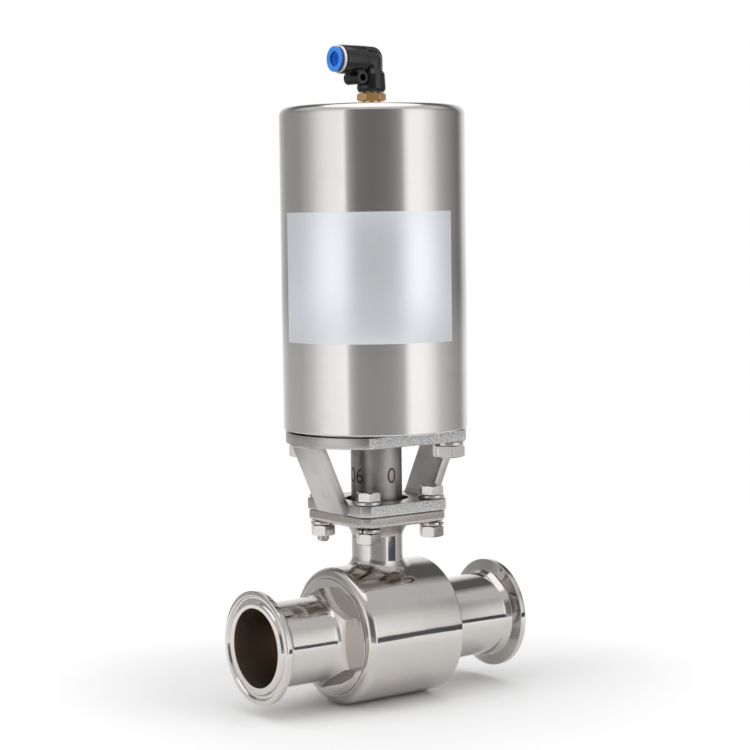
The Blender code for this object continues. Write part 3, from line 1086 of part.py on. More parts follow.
def fitting_stud():
    """Brass stud: thread into the air port, hexagon, and a spigot that the elbow swivels on."""
    groove = STUD_SPIGOT_RADIUS - SWIVEL_SEAL_SECTION / 2.0
    groove_half = SWIVEL_SEAL_SECTION / 2.0 + SEAT_GAP
    blank = STUD_HEX_ACROSS_FLATS / 2.0 / math.cos(math.pi / 6.0) + SEAT_GAP / 4.0
    bevelled = STUD_HEX_ACROSS_FLATS / 2.0
    outline = [(STUD_BOTTOM, AIR_PASSAGE_RADIUS), (STUD_BOTTOM, STUD_THREAD_RADIUS),
               (STUD_HEX_BOTTOM, STUD_THREAD_RADIUS), (STUD_HEX_BOTTOM, bevelled),
               (STUD_HEX_BOTTOM + HEX_END_CHAMFER, blank), (STUD_HEX_TOP - HEX_END_CHAMFER, blank),
               (STUD_HEX_TOP, bevelled), (STUD_HEX_TOP, STUD_SPIGOT_RADIUS),
               (SWIVEL_SEAL_Z - groove_half, STUD_SPIGOT_RADIUS), (SWIVEL_SEAL_Z - groove_half, groove),
               (SWIVEL_SEAL_Z + groove_half, groove), (SWIVEL_SEAL_Z + groove_half, STUD_SPIGOT_RADIUS),
               (STUD_TOP, STUD_SPIGOT_RADIUS), (STUD_TOP, AIR_PASSAGE_RADIUS)]
    stud = add_object("fitting_stud", turned("fitting_stud", outline, "Z", FASTENER_SEGMENTS), "brass")
    hexagon_cutter = flats_cutter("stud_hexagon", STUD_HEX_ACROSS_FLATS, 6, 2.0 * STUD_HEX_ACROSS_FLATS,
                                  STUD_HEX_BOTTOM, STUD_HEX_TOP, QUARTER_TURN)
    combine(stud, hexagon_cutter, "DIFFERENCE")


def swivel_seal():
    centre = STUD_SPIGOT_RADIUS - SEAT_GAP / 2.0
    outline = torus_profile(SWIVEL_SEAL_Z, centre, SWIVEL_SEAL_SECTION / 2.0 - SEAT_GAP)
    add_object("swivel_seal", turned("swivel_seal", outline, "Z", FASTENER_SEGMENTS), "seal_rubber")


def elbow_body():
    """Moulded elbow: swivelling base, tight bend, tube socket and a lug with a fixing hole."""
    base_top = ELBOW_BOTTOM + ELBOW_BASE_HEIGHT
    chamfer = ELBOW_BASE_RADIUS - ELBOW_BASE_FOOT_RADIUS
    outline = [(ELBOW_BOTTOM, 0.0), (ELBOW_BOTTOM, ELBOW_BASE_FOOT_RADIUS),
               (ELBOW_BOTTOM + 2.0 * chamfer, ELBOW_BASE_RADIUS), (base_top - chamfer, ELBOW_BASE_TOP_RADIUS),
               (base_top, ELBOW_BEND_RADIUS)]
    outline += [(along, radial) for along, radial in arc((ELBOW_AXIS_Z, 0.0), ELBOW_BEND_RADIUS, 90.0, 0.0, 3)]
    elbow = add_object("elbow_body", turned("elbow_body", outline, "Z", SMALL_SEGMENTS, ring=False), "black_plastic")
    edge = SEAT_GAP
    barrel = [(-ELBOW_BARREL_END, 0.0), (-ELBOW_BARREL_END, ELBOW_BARREL_RADIUS - edge),
              (-ELBOW_BARREL_END + edge, ELBOW_BARREL_RADIUS), (-ELBOW_BARREL_START, ELBOW_BARREL_RADIUS),
              (-ELBOW_BARREL_START, ELBOW_BEND_RADIUS - edge / 2.0),
              (0.0, ELBOW_BEND_RADIUS - edge / 2.0), (0.0, 0.0)]
    barrel_mesh = turned("elbow_barrel", barrel, "X", SMALL_SEGMENTS, ring=False)
    barrel_mesh.transform(Matrix.Translation((0.0, 0.0, ELBOW_AXIS_Z)))
    combine(elbow, barrel_mesh, "UNION")
    half = LUG_LENGTH / 2.0
    lug_centre = (-LUG_X, 0.0, ELBOW_AXIS_Z - LUG_DROP)
    combine(elbow, rods("elbow_lug", "Y", LUG_RADIUS, -half, half, [lug_centre], FASTENER_SEGMENTS), "UNION")
    combine(elbow, rods("elbow_lug_hole", "Y", LUG_HOLE_RADIUS, -2.0 * half, 2.0 * half, [lug_centre],
                        FASTENER_SEGMENTS), "DIFFERENCE")
    spigot_top = STUD_TOP + 2.0 * SEAT_GAP
    riser = [(ELBOW_BOTTOM - edge, 0.0), (ELBOW_BOTTOM - edge, ELBOW_SPIGOT_BORE), (spigot_top, ELBOW_SPIGOT_BORE),
             (spigot_top, AIR_PASSAGE_RADIUS), (ELBOW_AXIS_Z, AIR_PASSAGE_RADIUS), (ELBOW_AXIS_Z, 0.0)]
    combine(elbow, turned("elbow_riser", riser, "Z", SMALL_SEGMENTS, ring=False), "DIFFERENCE")
    socket = [(-ELBOW_BARREL_END - edge, 0.0), (-ELBOW_BARREL_END - edge, SOCKET_RADIUS),
              (-SOCKET_FLOOR_X, SOCKET_RADIUS), (-SOCKET_FLOOR_X, TUBE_RADIUS_CLEAR), (-TUBE_STOP_X, TUBE_RADIUS_CLEAR),
              (-TUBE_STOP_X, AIR_PASSAGE_RADIUS), (AIR_PASSAGE_RADIUS, AIR_PASSAGE_RADIUS), (AIR_PASSAGE_RADIUS, 0.0)]
    socket_mesh = turned("elbow_socket", socket, "X", SMALL_SEGMENTS, ring=False)
    socket_mesh.transform(Matrix.Translation((0.0, 0.0, ELBOW_AXIS_Z)))
    combine(elbow, socket_mesh, "DIFFERENCE")


def socket_ring(name, outline, finish):
    """A ring on the elbow's tube axis, from a profile of (distance from the stem axis, radius)."""
    mirrored = [(-distance, radius) for distance, radius in outline]
    add_object(name, turned(name, mirrored, "X", FASTENER_SEGMENTS), finish, (0.0, 0.0, ELBOW_AXIS_Z))


def tube_seal():
    centre = SOCKET_FLOOR_X + SEAT_GAP + TUBE_SEAL_SECTION / 2.0
    radial = (TUBE_RADIUS_CLEAR + SOCKET_RADIUS) / 2.0
    socket_ring("tube_seal", torus_profile(centre, radial, TUBE_SEAL_SECTION / 2.0), "seal_rubber")


def grip_ring():
    """Toothed spring ring that grips the tube; it is dished towards the tube stop."""
    front = GRIP_RING_X + GRIP_RING_THICKNESS
    outline = [(GRIP_RING_X, TUBE_RADIUS_CLEAR), (front, TUBE_RADIUS_CLEAR + GRIP_RING_THICKNESS),
               (front, SOCKET_RADIUS - SEAT_GAP), (GRIP_RING_X, SOCKET_RADIUS - SEAT_GAP)]
    socket_ring("grip_ring", outline, "spring_steel")


def retainer_ring():
    inner = COLLET_RADIUS + SEAT_GAP
    outline = [(RETAINER_BACK_X, inner), (RETAINER_BACK_X, RETAINER_RADIUS),
               (RETAINER_FRONT_X, RETAINER_RADIUS), (RETAINER_FRONT_X, inner)]
    socket_ring("retainer_ring", outline, "pale_plastic")


def release_collet():
    """Blue release ring: pushed in, it opens the grip ring's teeth."""
    lip_end = COLLET_END_X + COLLET_LIP_LENGTH
    outline = [(COLLET_END_X, TUBE_RADIUS_CLEAR), (COLLET_END_X, COLLET_RADIUS), (lip_end, COLLET_LIP_RADIUS),
               (lip_end + SEAT_GAP, COLLET_RADIUS), (COLLET_FLANGE_BACK_X, COLLET_RADIUS),
               (COLLET_FLANGE_BACK_X, COLLET_FLANGE_RADIUS), (COLLET_FRONT_X, COLLET_FLANGE_RADIUS - SEAT_GAP),
               (COLLET_FRONT_X, COLLET_RADIUS), (COLLET_FRONT_X - SEAT_GAP, TUBE_RADIUS_CLEAR)]
    socket_ring("release_collet", outline, "blue_plastic")


def build():
    clear_scene()
    valve_body()
    outlet_ferrule()
    end_cap()
    ball()
    seat_ring("seat_ring_inlet", -1.0)
    seat_ring("seat_ring_outlet", 1.0)
    body_seal()
    valve_stem()
    washer("stem_thrust_washer", STEM_HOLE_RADIUS, STEM_COLLAR_RADIUS, THRUST_WASHER_BOTTOM,
           THRUST_WASHER_THICKNESS, SMALL_SEGMENTS, "white_polymer")
    for index, name in enumerate(("packing_ring_lower", "packing_ring_middle", "packing_ring_upper")):
        bottom = PACKING_FLOOR + SEAT_GAP + index * (PACKING_RING_HEIGHT + SEAT_GAP)
        washer(name, STEM_HOLE_RADIUS, PACKING_RADIUS, bottom, PACKING_RING_HEIGHT, SMALL_SEGMENTS, "white_polymer")
    washer("packing_follower", STEM_HOLE_RADIUS, PACKING_RADIUS, FOLLOWER_BOTTOM, FOLLOWER_HEIGHT, SMALL_SEGMENTS,
           "brushed_steel")
    gland_nut()
    coupling_sleeve()
    mounting_bracket()
    bracket_bolts()
    actuator_bolts()
    actuator_barrel()
    end_cover()
    cover_seal()
    retaining_ring()
    shaft_seal()
    washer("rotor_bush", BUSH_INNER, BUSH_OUTER, BUSH_BOTTOM, COVER_RECESS_FLOOR - SEAT_GAP - BUSH_BOTTOM,
           INNER_SEGMENTS, "bronze")
    washer("rotor_thrust_washer", BUSH_INNER, ROTOR_COLLAR_RADIUS - SEAT_GAP, ROTOR_WASHER_BOTTOM,
           ROTOR_WASHER_THICKNESS, INNER_SEGMENTS, "white_polymer")
    drive_rotor()
    guide_tube()
    piston()
    wear_ring()
    piston_seal()
    cross_pin()
    pin_roller("pin_roller_front", -1.0)
    pin_roller("pin_roller_back", 1.0)
    return_spring()
    fitting_stud()
    swivel_seal()
    elbow_body()
    tube_seal()
    grip_ring()
    retainer_ring()
    release_collet()


build()
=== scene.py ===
# %% [markdown]
# # Pneumatic ball valve
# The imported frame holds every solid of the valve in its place, but with coarse facets and plain colours.
# Each step below takes one piece as it is made in the workshop, builds it again with fine, true curves on
# the frame's own sizes, and gives it a metal, rubber or plastic that wears its own marks.
# The outside pieces are made afresh. What is sealed inside keeps the frame's mesh and gets a finish.

# %% Open the frame
import json
import math

import bmesh
import bpy
from mathutils import Matrix, Vector

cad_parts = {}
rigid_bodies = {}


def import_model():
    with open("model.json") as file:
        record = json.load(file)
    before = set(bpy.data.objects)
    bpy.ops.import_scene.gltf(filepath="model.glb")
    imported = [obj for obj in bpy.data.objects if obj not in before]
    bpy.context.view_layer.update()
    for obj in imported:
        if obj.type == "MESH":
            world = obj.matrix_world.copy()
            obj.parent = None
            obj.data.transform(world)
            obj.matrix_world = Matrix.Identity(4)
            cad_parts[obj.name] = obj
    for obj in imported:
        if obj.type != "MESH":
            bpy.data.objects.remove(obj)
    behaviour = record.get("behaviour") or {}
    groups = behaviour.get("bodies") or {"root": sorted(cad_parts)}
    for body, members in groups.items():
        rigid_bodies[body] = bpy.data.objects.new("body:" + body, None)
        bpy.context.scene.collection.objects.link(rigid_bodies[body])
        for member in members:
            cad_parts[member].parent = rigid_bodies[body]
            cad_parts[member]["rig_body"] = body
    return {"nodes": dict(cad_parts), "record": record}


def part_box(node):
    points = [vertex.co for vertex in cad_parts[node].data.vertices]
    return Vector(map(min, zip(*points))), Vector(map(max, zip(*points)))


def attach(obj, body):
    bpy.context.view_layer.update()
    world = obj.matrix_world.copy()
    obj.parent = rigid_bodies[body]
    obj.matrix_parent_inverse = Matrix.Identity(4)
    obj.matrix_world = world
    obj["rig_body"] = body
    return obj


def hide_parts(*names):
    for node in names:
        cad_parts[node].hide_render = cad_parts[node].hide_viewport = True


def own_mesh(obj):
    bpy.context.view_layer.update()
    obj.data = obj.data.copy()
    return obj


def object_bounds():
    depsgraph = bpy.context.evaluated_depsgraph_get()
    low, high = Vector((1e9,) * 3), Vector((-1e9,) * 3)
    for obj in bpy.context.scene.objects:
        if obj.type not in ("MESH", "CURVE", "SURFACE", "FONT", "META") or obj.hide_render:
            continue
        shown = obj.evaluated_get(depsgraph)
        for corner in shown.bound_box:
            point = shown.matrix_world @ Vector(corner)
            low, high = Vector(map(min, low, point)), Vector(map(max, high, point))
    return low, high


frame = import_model()
nodes = frame["nodes"]
cad_low, cad_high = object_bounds()
MM = 0.001
FULL = 2.0 * math.pi
RIGHT = math.pi / 2.0
AXES = {"X": Vector((1.0, 0.0, 0.0)), "Y": Vector((0.0, 1.0, 0.0)), "Z": Vector((0.0, 0.0, 1.0))}
print(len(nodes), "nodes, overall mm:", [round(side / MM, 1) for side in cad_high - cad_low])

# %% [markdown]
# ## Values that act like numbers
# A finish is a small sum: noise times a depth, added to a base roughness. Written as plain arithmetic it
# can be read at a glance, so one class wraps a node's socket and gives it the signs + - * / and a few
# helpers. Its `node` method makes any other kind of node: the type, its settings, then its sockets.

# %% Shader arithmetic
class Wire:
    """A shader socket that can be used in sums."""

    def __init__(self, tree, socket):
        self.tree = tree
        self.socket = socket

    def node(self, kind, settings=None, sockets=None, output=0):
        made = self.tree.nodes.new(kind)
        for key, value in (settings or {}).items():
            setattr(made, key, value)
        for key, value in (sockets or {}).items():
            if isinstance(value, Wire):
                self.tree.links.new(value.socket, made.inputs[key])
            else:
                made.inputs[key].default_value = value
        return Wire(self.tree, made.outputs[output])

    def sum(self, operation, *values):
        return self.node("ShaderNodeMath", {"operation": operation}, dict(enumerate(values)))

    def __add__(self, other):
        return self.sum("ADD", self, other)

    def __radd__(self, other):
        return self.sum("ADD", other, self)

    def __sub__(self, other):
        return self.sum("SUBTRACT", self, other)

    def __rsub__(self, other):
        return self.sum("SUBTRACT", other, self)

    def __mul__(self, other):
        return self.sum("MULTIPLY", self, other)

    def __rmul__(self, other):
        return self.sum("MULTIPLY", other, self)

    def __truediv__(self, other):
        return self.sum("DIVIDE", self, other)

    def ramp(self, low, high):
        """0 below low, 1 above high, and smooth between them."""
        settings = {"interpolation_type": "SMOOTHSTEP", "clamp": True}
        return self.node("ShaderNodeMapRange", settings, {0: self, 1: low, 2: high})

    def blend(self, first, second):
        """The first colour where this value is 0 and the second where it is 1."""
        return self.node("ShaderNodeMix", {"data_type": "RGBA"}, {0: self, 6: first, 7: second}, 2)

    def stretched(self, x, y, z):
        return self.node("ShaderNodeVectorMath", {"operation": "MULTIPLY"}, {0: self, 1: (x, y, z)})

    def noise(self, size, detail=3.0, roughness=0.55):
        """Noise whose spots are about one size across, in metres."""
        return self.node("ShaderNodeTexNoise", None,
                         {"Vector": self, "Scale": 1.0 / size, "Detail": detail, "Roughness": roughness})

    def cells(self, size):
        return self.node("ShaderNodeTexVoronoi", None, {"Vector": self, "Scale": 1.0 / size})

    def bump(self, depth, strength=1.0):
        """A normal from this height, in metres of depth."""
        return self.node("ShaderNodeBump", None, {"Height": self, "Distance": depth, "Strength": strength})


# %% [markdown]
# ## Starting a finish
# Every finish starts as one shader with its constants set: colour, roughness and whether it is metal.
# The helper hands back the place on the piece as well, in the valve's own coordinates, so that marks on
# one piece line up with its axis and never swim when a joint moves.

# %% A bare finish
FINISHES = {}


def rgba(red, green, blue):
    return (red, green, blue, 1.0)


def darker(colour, share):
    return tuple(share * channel for channel in colour)


def start_finish(name, colour, roughness, metallic=1.0, **constants):
    """A material with its constants set; returns its shader's inputs and the place on the piece."""
    material = bpy.data.materials.new(name)
    material.use_nodes = True
    FINISHES[name] = material
    tree = material.node_tree
    shader = tree.nodes["Principled BSDF"]
    for socket, value in {"Base Color": rgba(*colour), "Roughness": roughness, "Metallic": metallic,
                          **{key.replace("_", " "): value for key, value in constants.items()}}.items():
        shader.inputs[socket].default_value = value
    place = tree.nodes.new("ShaderNodeTexCoord").outputs["Object"]
    return shader, Wire(tree, place)


def drive(shader, **wires):
    """Wire values into the shader's inputs, such as Base_Color or Roughness."""
    for name, wire in wires.items():
        wire.tree.links.new(wire.socket, shader.inputs[name.replace("_", " ")])


# %% [markdown]
# ## Polished stainless steel
# The wetted body and pipe ends are cast or turned in stainless steel and then buffed to a mirror. Buffing
# leaves the surface very slightly wavy, which bends reflections, and hands leave faint dull smudges.
# So the height is a slow, shallow noise, and the roughness rises a little where broad smudges lie.

# %% Polished steel
def polished(name, colour, base=0.075, wave=0.00010, size=0.016):
    shader, place = start_finish(name, colour, base)
    smudge = place.noise(0.022, 4.0).ramp(0.50, 0.72)
    speck = place.noise(0.0016, 2.0).ramp(0.66, 0.80)
    drive(shader, Roughness=base + smudge * 0.055 + speck * 0.05,
          Base_Color=(smudge * 0.6 + speck * 0.4).blend(rgba(*colour), rgba(*darker(colour, 0.93))),
          Normal=place.noise(size, 1.0).bump(wave))


polished("mirror_steel", (0.60, 0.573, 0.552))
polished("mirror_tube", (0.62, 0.594, 0.573), 0.065, 0.00004)
polished("ball_mirror", (0.52, 0.49, 0.46), 0.10, 0.00001)
# Bore walls: a higher roughness for the duller finish inside, and a dark brown colour that is painted shade for the
# deep bore.
polished("bore_dull_painted_shade", (0.46, 0.385, 0.32), 0.34, 0.00003)
polished("satin_cast", (0.50, 0.468, 0.44), 0.27, 0.00006, 0.008)
# Milled flats: a little rougher than the polish, and a darker colour that is painted shade for the dark they mirror.
polished("milled_flat_painted_shade", (0.54, 0.515, 0.495), 0.11, 0.00002)
print("polished finishes:", sorted(FINISHES))


# %% [markdown]
# ## Brushed and turned steel
# The can is drawn tube, finished on a belt while it turns, so its marks run round it in fine rings. They
# spread a reflection up and down but leave it sharp from side to side: noise squeezed along one axis does
# the same. The turned parts have the same rings, as their axes are upright too.

# %% Brushed steel
def brushed(name, colour, base, depth, pitch=0.00035, wear=0.05):
    shader, place = start_finish(name, colour, base)
    squeezed = place.stretched(0.02, 0.02, 1.0)
    rings = squeezed.noise(pitch, 2.0, 0.6)
    broad = squeezed.noise(pitch * 14.0, 2.0)
    smudge = place.noise(0.018, 4.0).ramp(0.52, 0.74)
    drive(shader, Roughness=base + rings * 0.05 + smudge * wear,
          Base_Color=(broad * 0.35 + smudge * 0.25).blend(rgba(*colour), rgba(*darker(colour, 0.90))),
          Normal=(rings + broad * 0.5).bump(depth))


brushed("can_steel", (0.690, 0.670, 0.655), 0.115, 0.0000035)
brushed("turned_steel", (0.60, 0.585, 0.57), 0.24, 0.00001)
print("brushed finishes added:", len(FINISHES))


# %% [markdown]
# ## Blasted, rolled and cut steel
# The bracket is cut from hot rolled plate and welded. Its faces stay dull and grey from blasting, and its
# cut edges are rough and sparkle where small bright facets catch the light. The coupling sleeve is blasted
# all over. Fine noise gives the grain, and cells of random height give the facets of the cut.

# %% Blasted steel
def blasted(name, colour, base, depth, grain=0.00045, stain=0.12):
    shader, place = start_finish(name, colour, base)
    fine = place.noise(grain, 2.0, 0.7)
    patch = place.noise(0.009, 4.0).ramp(0.42, 0.70)
    drive(shader, Roughness=base - 0.05 + fine * 0.10, Normal=fine.bump(depth),
          Base_Color=patch.blend(rgba(*colour), rgba(*darker(colour, 1.0 - stain))))


def cut_edge(name, colour, base, depth, facet):
    shader, place = start_finish(name, colour, base)
    cell = place.cells(facet)
    fine = place.noise(facet * 0.7, 3.0, 0.7)
    glint = fine.ramp(0.52, 0.66)
    drive(shader, Roughness=base + fine * 0.25 - glint * 0.16, Normal=(cell + fine).bump(depth),
          Base_Color=glint.blend(rgba(*darker(colour, 0.66)), rgba(*colour)))


blasted("sleeve_blasted", (0.41, 0.393, 0.384), 0.40, 0.00006)
# The flare under the flange: a rough cast surface, and a dark brown colour that is painted shade under the flange.
blasted("cast_skin_painted_shade", (0.40, 0.362, 0.335), 0.30, 0.00003, 0.0006, 0.10)
blasted("leg_blasted", (0.52, 0.503, 0.493), 0.34, 0.00003, 0.0006, 0.10)
blasted("plate_face", (0.54, 0.525, 0.512), 0.30, 0.00003, 0.0007, 0.15)
cut_edge("plate_edge", (0.84, 0.83, 0.83), 0.20, 0.00030, 0.0009)
print("bracket finishes added:", len(FINISHES))

# %% [markdown]
# ## Tools for making pieces
# Most of the valve is turned on a lathe, so most pieces are one half section spun round an axis. A corner
# of the section may carry a radius, which becomes a small arc, because no real edge is perfectly sharp.
# Holes and flats are milled afterwards: a Boolean takes a cutter away and the result is kept as a mesh.

# %% Section, lathe, mill
def into_scene(name, data):
    """A new object at the origin, in the scene."""
    made = bpy.data.objects.new(name, data)
    bpy.context.scene.collection.objects.link(made)
    return made


def section(*points, arc_steps=5):
    """A closed half section in mm, as (along, radius) or (along, radius, corner radius)."""
    made = []
    for index, point in enumerate(points):
        here = Vector(point[:2])
        if len(point) == 2:
            made.append(here)
            continue
        back = (Vector(points[index - 1][:2]) - here).normalized()
        ahead = (Vector(points[(index + 1) % len(points)][:2]) - here).normalized()
        half = back.angle(ahead) / 2.0
        centre = here + (back + ahead).normalized() * (point[2] / math.sin(half))
        start = here + back * (point[2] / math.tan(half)) - centre
        end = here + ahead * (point[2] / math.tan(half)) - centre
        for step in range(arc_steps + 1):
            made.append(centre + start.slerp(end, step / arc_steps).normalized() * point[2])
    return made


def finished_mesh(name, bm, sharp=32.0):
    bmesh.ops.remove_doubles(bm, verts=bm.verts, dist=0.000002)
    bmesh.ops.recalc_face_normals(bm, faces=bm.faces)
    mesh = bpy.data.meshes.new(name)
    bm.to_mesh(mesh)
    bm.free()
    mesh.shade_smooth()
    mesh.set_sharp_from_angle(angle=math.radians(sharp))
    return mesh


def lathe(name, points, axis="Z", sides=128, centre=(0.0, 0.0, 0.0), sharp=32.0):
    """Spin a half section about an axis; points on the axis close the piece there."""
    bm = bmesh.new()
    place = {"X": lambda a, r: (a, 0.0, r), "Y": lambda a, r: (r, a, 0.0), "Z": lambda a, r: (r, 0.0, a)}[axis]
    verts = [bm.verts.new(Vector(place(along, radius)) * MM) for along, radius in points]
    loop = [bm.edges.new(pair) for pair in zip(verts, verts[1:])]
    if min(points[0][1], points[-1][1]) > 0.0:
        loop.append(bm.edges.new((verts[-1], verts[0])))
    bmesh.ops.spin(bm, geom=verts + loop, cent=(0.0, 0.0, 0.0), axis=AXES[axis], angle=FULL, steps=sides,
                   use_merge=True)
    bmesh.ops.translate(bm, verts=bm.verts, vec=centre)
    return finished_mesh(name, bm, sharp)


def skin(name, rings, cap=True, loop=False, sharp=32.0):
    """Faces between rings of equally many points in metres, with flat ends unless they join up."""
    bm = bmesh.new()
    rows = [[bm.verts.new(point) for point in ring] for ring in rings]
    for lower, upper in zip(rows, rows[1:] + (rows[:1] if loop else [])):
        for index, corner in enumerate(lower):
            after = (index + 1) % len(lower)
            bm.faces.new((corner, lower[after], upper[after], upper[index]))
    if cap and not loop:
        bm.faces.new(rows[0])
        bm.faces.new(rows[-1])
    return finished_mesh(name, bm, sharp)


def polygon(radius, count, z=0.0, turn=0.0):
    """Points in mm on a circle, as metres."""
    return [Vector((radius * math.cos(turn + FULL * i / count), radius * math.sin(turn + FULL * i / count), z)) * MM
            for i in range(count)]


def rod(name, radius, low, high, axis="Z", sides=48, centre=(0.0, 0.0, 0.0)):
    return lathe(name, [(low, 0.0), (low, radius), (high, radius), (high, 0.0)], axis, sides, centre)


def block(name, sides, centre):
    """A plain block from its three sides and its centre, in mm."""
    bm = bmesh.new()
    place = Matrix.Translation(Vector(centre) * MM) @ Matrix.Diagonal([side * MM for side in sides] + [1.0])
    bmesh.ops.create_cube(bm, size=1.0, matrix=place)
    return finished_mesh(name, bm)


def cut(mesh):
    return "DIFFERENCE", mesh


def weld(mesh):
    return "UNION", mesh


def holes(radius, low, high, spots):
    """Cuts for upright holes at spots in mm."""
    return [cut(rod("hole", radius, low, high, centre=(x * MM, y * MM, 0.0))) for x, y in spots]


def mill(mesh, *steps, sharp=32.0):
    """Take cutters away from a mesh, or join meshes to it: steps are (operation, mesh)."""
    blank = into_scene("blank", mesh)
    tools = []
    for operation, tool in steps:
        cutter = into_scene("cutter", tool)
        modifier = blank.modifiers.new("mill", "BOOLEAN")
        modifier.operation = operation
        modifier.object = cutter
        tools.append(cutter)
    bpy.context.view_layer.update()
    result = bpy.data.meshes.new_from_object(blank.evaluated_get(bpy.context.evaluated_depsgraph_get()))
    for spent in [blank] + tools:
        bpy.data.objects.remove(spent)
    result.shade_smooth()
    result.set_sharp_from_angle(angle=math.radians(sharp))
    return result


SLOTS = {row["node"]: row["material_slot"] for row in frame["record"]["subparts"]}


def place_piece(name, mesh, finish, node, hides=()):
    """Show a mesh as a piece of the valve: it rides with a node's body and may stand for nodes."""
    piece = into_scene(name, mesh)
    mesh.materials.clear()
    mesh.materials.append(FINISHES[finish])
    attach(piece, nodes[node]["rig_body"])
    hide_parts(*hides)
    return piece


def refinish(piece, finish, chosen):
    """Give another finish to the faces whose centre (in mm) and normal are chosen."""
    piece.data.materials.append(FINISHES[finish])
    for face in piece.data.polygons:
        if chosen(face.center / MM, face.normal):
            face.material_index = len(piece.data.materials) - 1


def turn_piece(name, points, axis, sides, finish, node, centre=(0.0, 0.0, 0.0)):
    """Spin a section and show it in place of its node."""
    return place_piece(name, lathe(name, points, axis, sides, centre), finish, node, [node])


def box_mm(node):
    low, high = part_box(node)
    return low / MM, high / MM


print("slots of the valve's nodes:", sorted(set(SLOTS.values())))

# %% [markdown]
# ## Pipe ends
# Each pipe end is a length of 38.1 mm tube with a clamp ferrule: a thin disc with a 20 degree back, which
# a hinged clamp squeezes against the next ferrule, and a groove in its face for the gasket's bead. It is
# turned, so one section does it. The outlet's tube sits in the body up to a small collar and is welded.

# %% Outlet ferrule
TUBE, BORE, FERRULE = 19.05, 17.55, 25.25
FACE = box_mm("outlet_ferrule")[1].x


def clamp_ferrule(face, side):
    """The outside of a pipe end from its tube to its face; side is -1 or 1 along X."""
    points = [(face - 7.4, TUBE, 3.0), (face - 4.6, TUBE + 1.35, 1.2), (face - 2.85, FERRULE, 0.35),
              (face, FERRULE, 0.5), (face, 23.1, 0.15), (face - 1.1, 22.5, 0.3), (face - 1.1, 21.1, 0.3),
              (face, 20.5, 0.15), (face, BORE, 0.25)]
    return [(side * point[0], *point[1:]) for point in points]


def in_bore(centre, normal):
    return math.hypot(centre.y, centre.z) < BORE + 0.15 and abs(normal.x) < 0.9


collar = box_mm("outlet_ferrule")[0].x
outlet = section((23.2, BORE), (23.2, TUBE), (25.5, TUBE), (25.5, 20.3, 0.3), (27.6, 20.3, 0.6), (27.8, TUBE, 0.1),
                 *clamp_ferrule(FACE, 1.0))
pipe_end = turn_piece("outlet_ferrule_turned", outlet, "X", 160, "mirror_tube", "outlet_ferrule")
# The bore gets the painted shade of a deep bore.
refinish(pipe_end, "bore_dull_painted_shade", in_bore)
print("outlet face at", round(FACE, 2), "mm, spigot from", round(collar, 2), "mm")

# %% [markdown]
# ## Body, neck and flange
# The body is a round drum with a soft left edge and a small chamfer on the right. Its neck grows out of
# the drum with a fillet that follows the drum's curve, runs straight and flares to a square flange. The
# whole is one casting, so three closed forms are joined, and then bored for the stem and four bolts.

# %% Valve body
DRUM = box_mm("valve_body")[1].y
FLANGE_TOP = box_mm("valve_body")[1].z
FLANGE_LOW = FLANGE_TOP - 5.1
FLANGE, CORNER_CUT, UNDER = 23.5, 3.2, 1.8
NECK, NECK_FILLET, FLARE = 11.7, 3.6, 4.5
BOLT, M6_HOLE = 17.68, 3.3
CORNERS = [(x * BOLT, y * BOLT) for x in (-1, 1) for y in (-1, 1)]


def square_ring(half, corner, z, radius=1.0, steps=3):
    """A square with chamfered and slightly rounded corners, in mm, as a ring at one height."""
    inner = half - corner
    sharp_points = [(half, -inner), (half, inner), (inner, half), (-inner, half),
                    (-half, inner), (-half, -inner), (-inner, -half), (inner, -half)]
    rounded = section(*[(x, y, radius) for x, y in sharp_points], arc_steps=steps)
    return [Vector((x, y, z)) * MM for x, y in rounded]


def drum_ring(radius, lift, count=96):
    """A ring round Z that lies on the drum's surface, raised by a lift."""
    ring = []
    for point in polygon(radius, count):
        ring.append(Vector((point.x, point.y, math.sqrt((DRUM * MM) ** 2 - point.y ** 2) + lift * MM)))
    return ring


drum = section((-26.6, 26.4, 0.12), (-26.6, DRUM, 4.0), (25.2, DRUM, 0.9), (25.2, 19.35, 0.2), (22.9, 19.35),
               (22.9, BORE), (21.424, BORE), (21.424, 23.7), (12.624, 23.7), (12.624, 25.4), (-12.0, 25.4),
               (-12.0, 26.4), arc_steps=10)
neck_rings = [drum_ring(NECK + NECK_FILLET, -2.0)]
for step in range(9):
    angle = RIGHT * step / 8
    neck_rings.append(drum_ring(NECK + NECK_FILLET * (1.0 - math.sin(angle)), 4.2 * (1.0 - math.cos(angle))))
neck_rings += [drum_ring(NECK, 4.5), polygon(NECK, 96, FLANGE_LOW - 6.3)]
for step in range(13):
    share = step / 12
    neck_rings.append(polygon(NECK + FLARE * share ** 1.5, 96, FLANGE_LOW - 6.0 + 6.4 * share))
neck_rings.append(polygon(NECK + FLARE + 0.1, 96, FLANGE_LOW + 1.0))
flange_rings = [square_ring(FLANGE - UNDER * (1.0 - math.sin(RIGHT * step / 6)), CORNER_CUT,
                            FLANGE_LOW + UNDER * (1.0 - math.cos(RIGHT * step / 6))) for step in range(7)]
flange_rings += [square_ring(FLANGE - inset, CORNER_CUT, FLANGE_TOP - down)
                 for inset, down in ((0.0, 0.5), (0.3, 0.12), (0.6, 0.0))]
stem_hole = [(17.0, 0.0), (17.0, 8.9), (31.0, 8.9), (31.0, 6.3), (38.0, 6.3), (38.0, 9.3), (57.0, 9.3), (57.0, 0.0)]
body = mill(lathe("valve_body_cast", drum, "X", 192), weld(skin("neck", neck_rings)),
            weld(skin("flange", flange_rings)), cut(lathe("stem_hole", stem_hole)),
            *holes(M6_HOLE, 48.0, 58.0, CORNERS))
body_piece = place_piece("valve_body_cast", body, "mirror_steel", "valve_body", ["valve_body"])
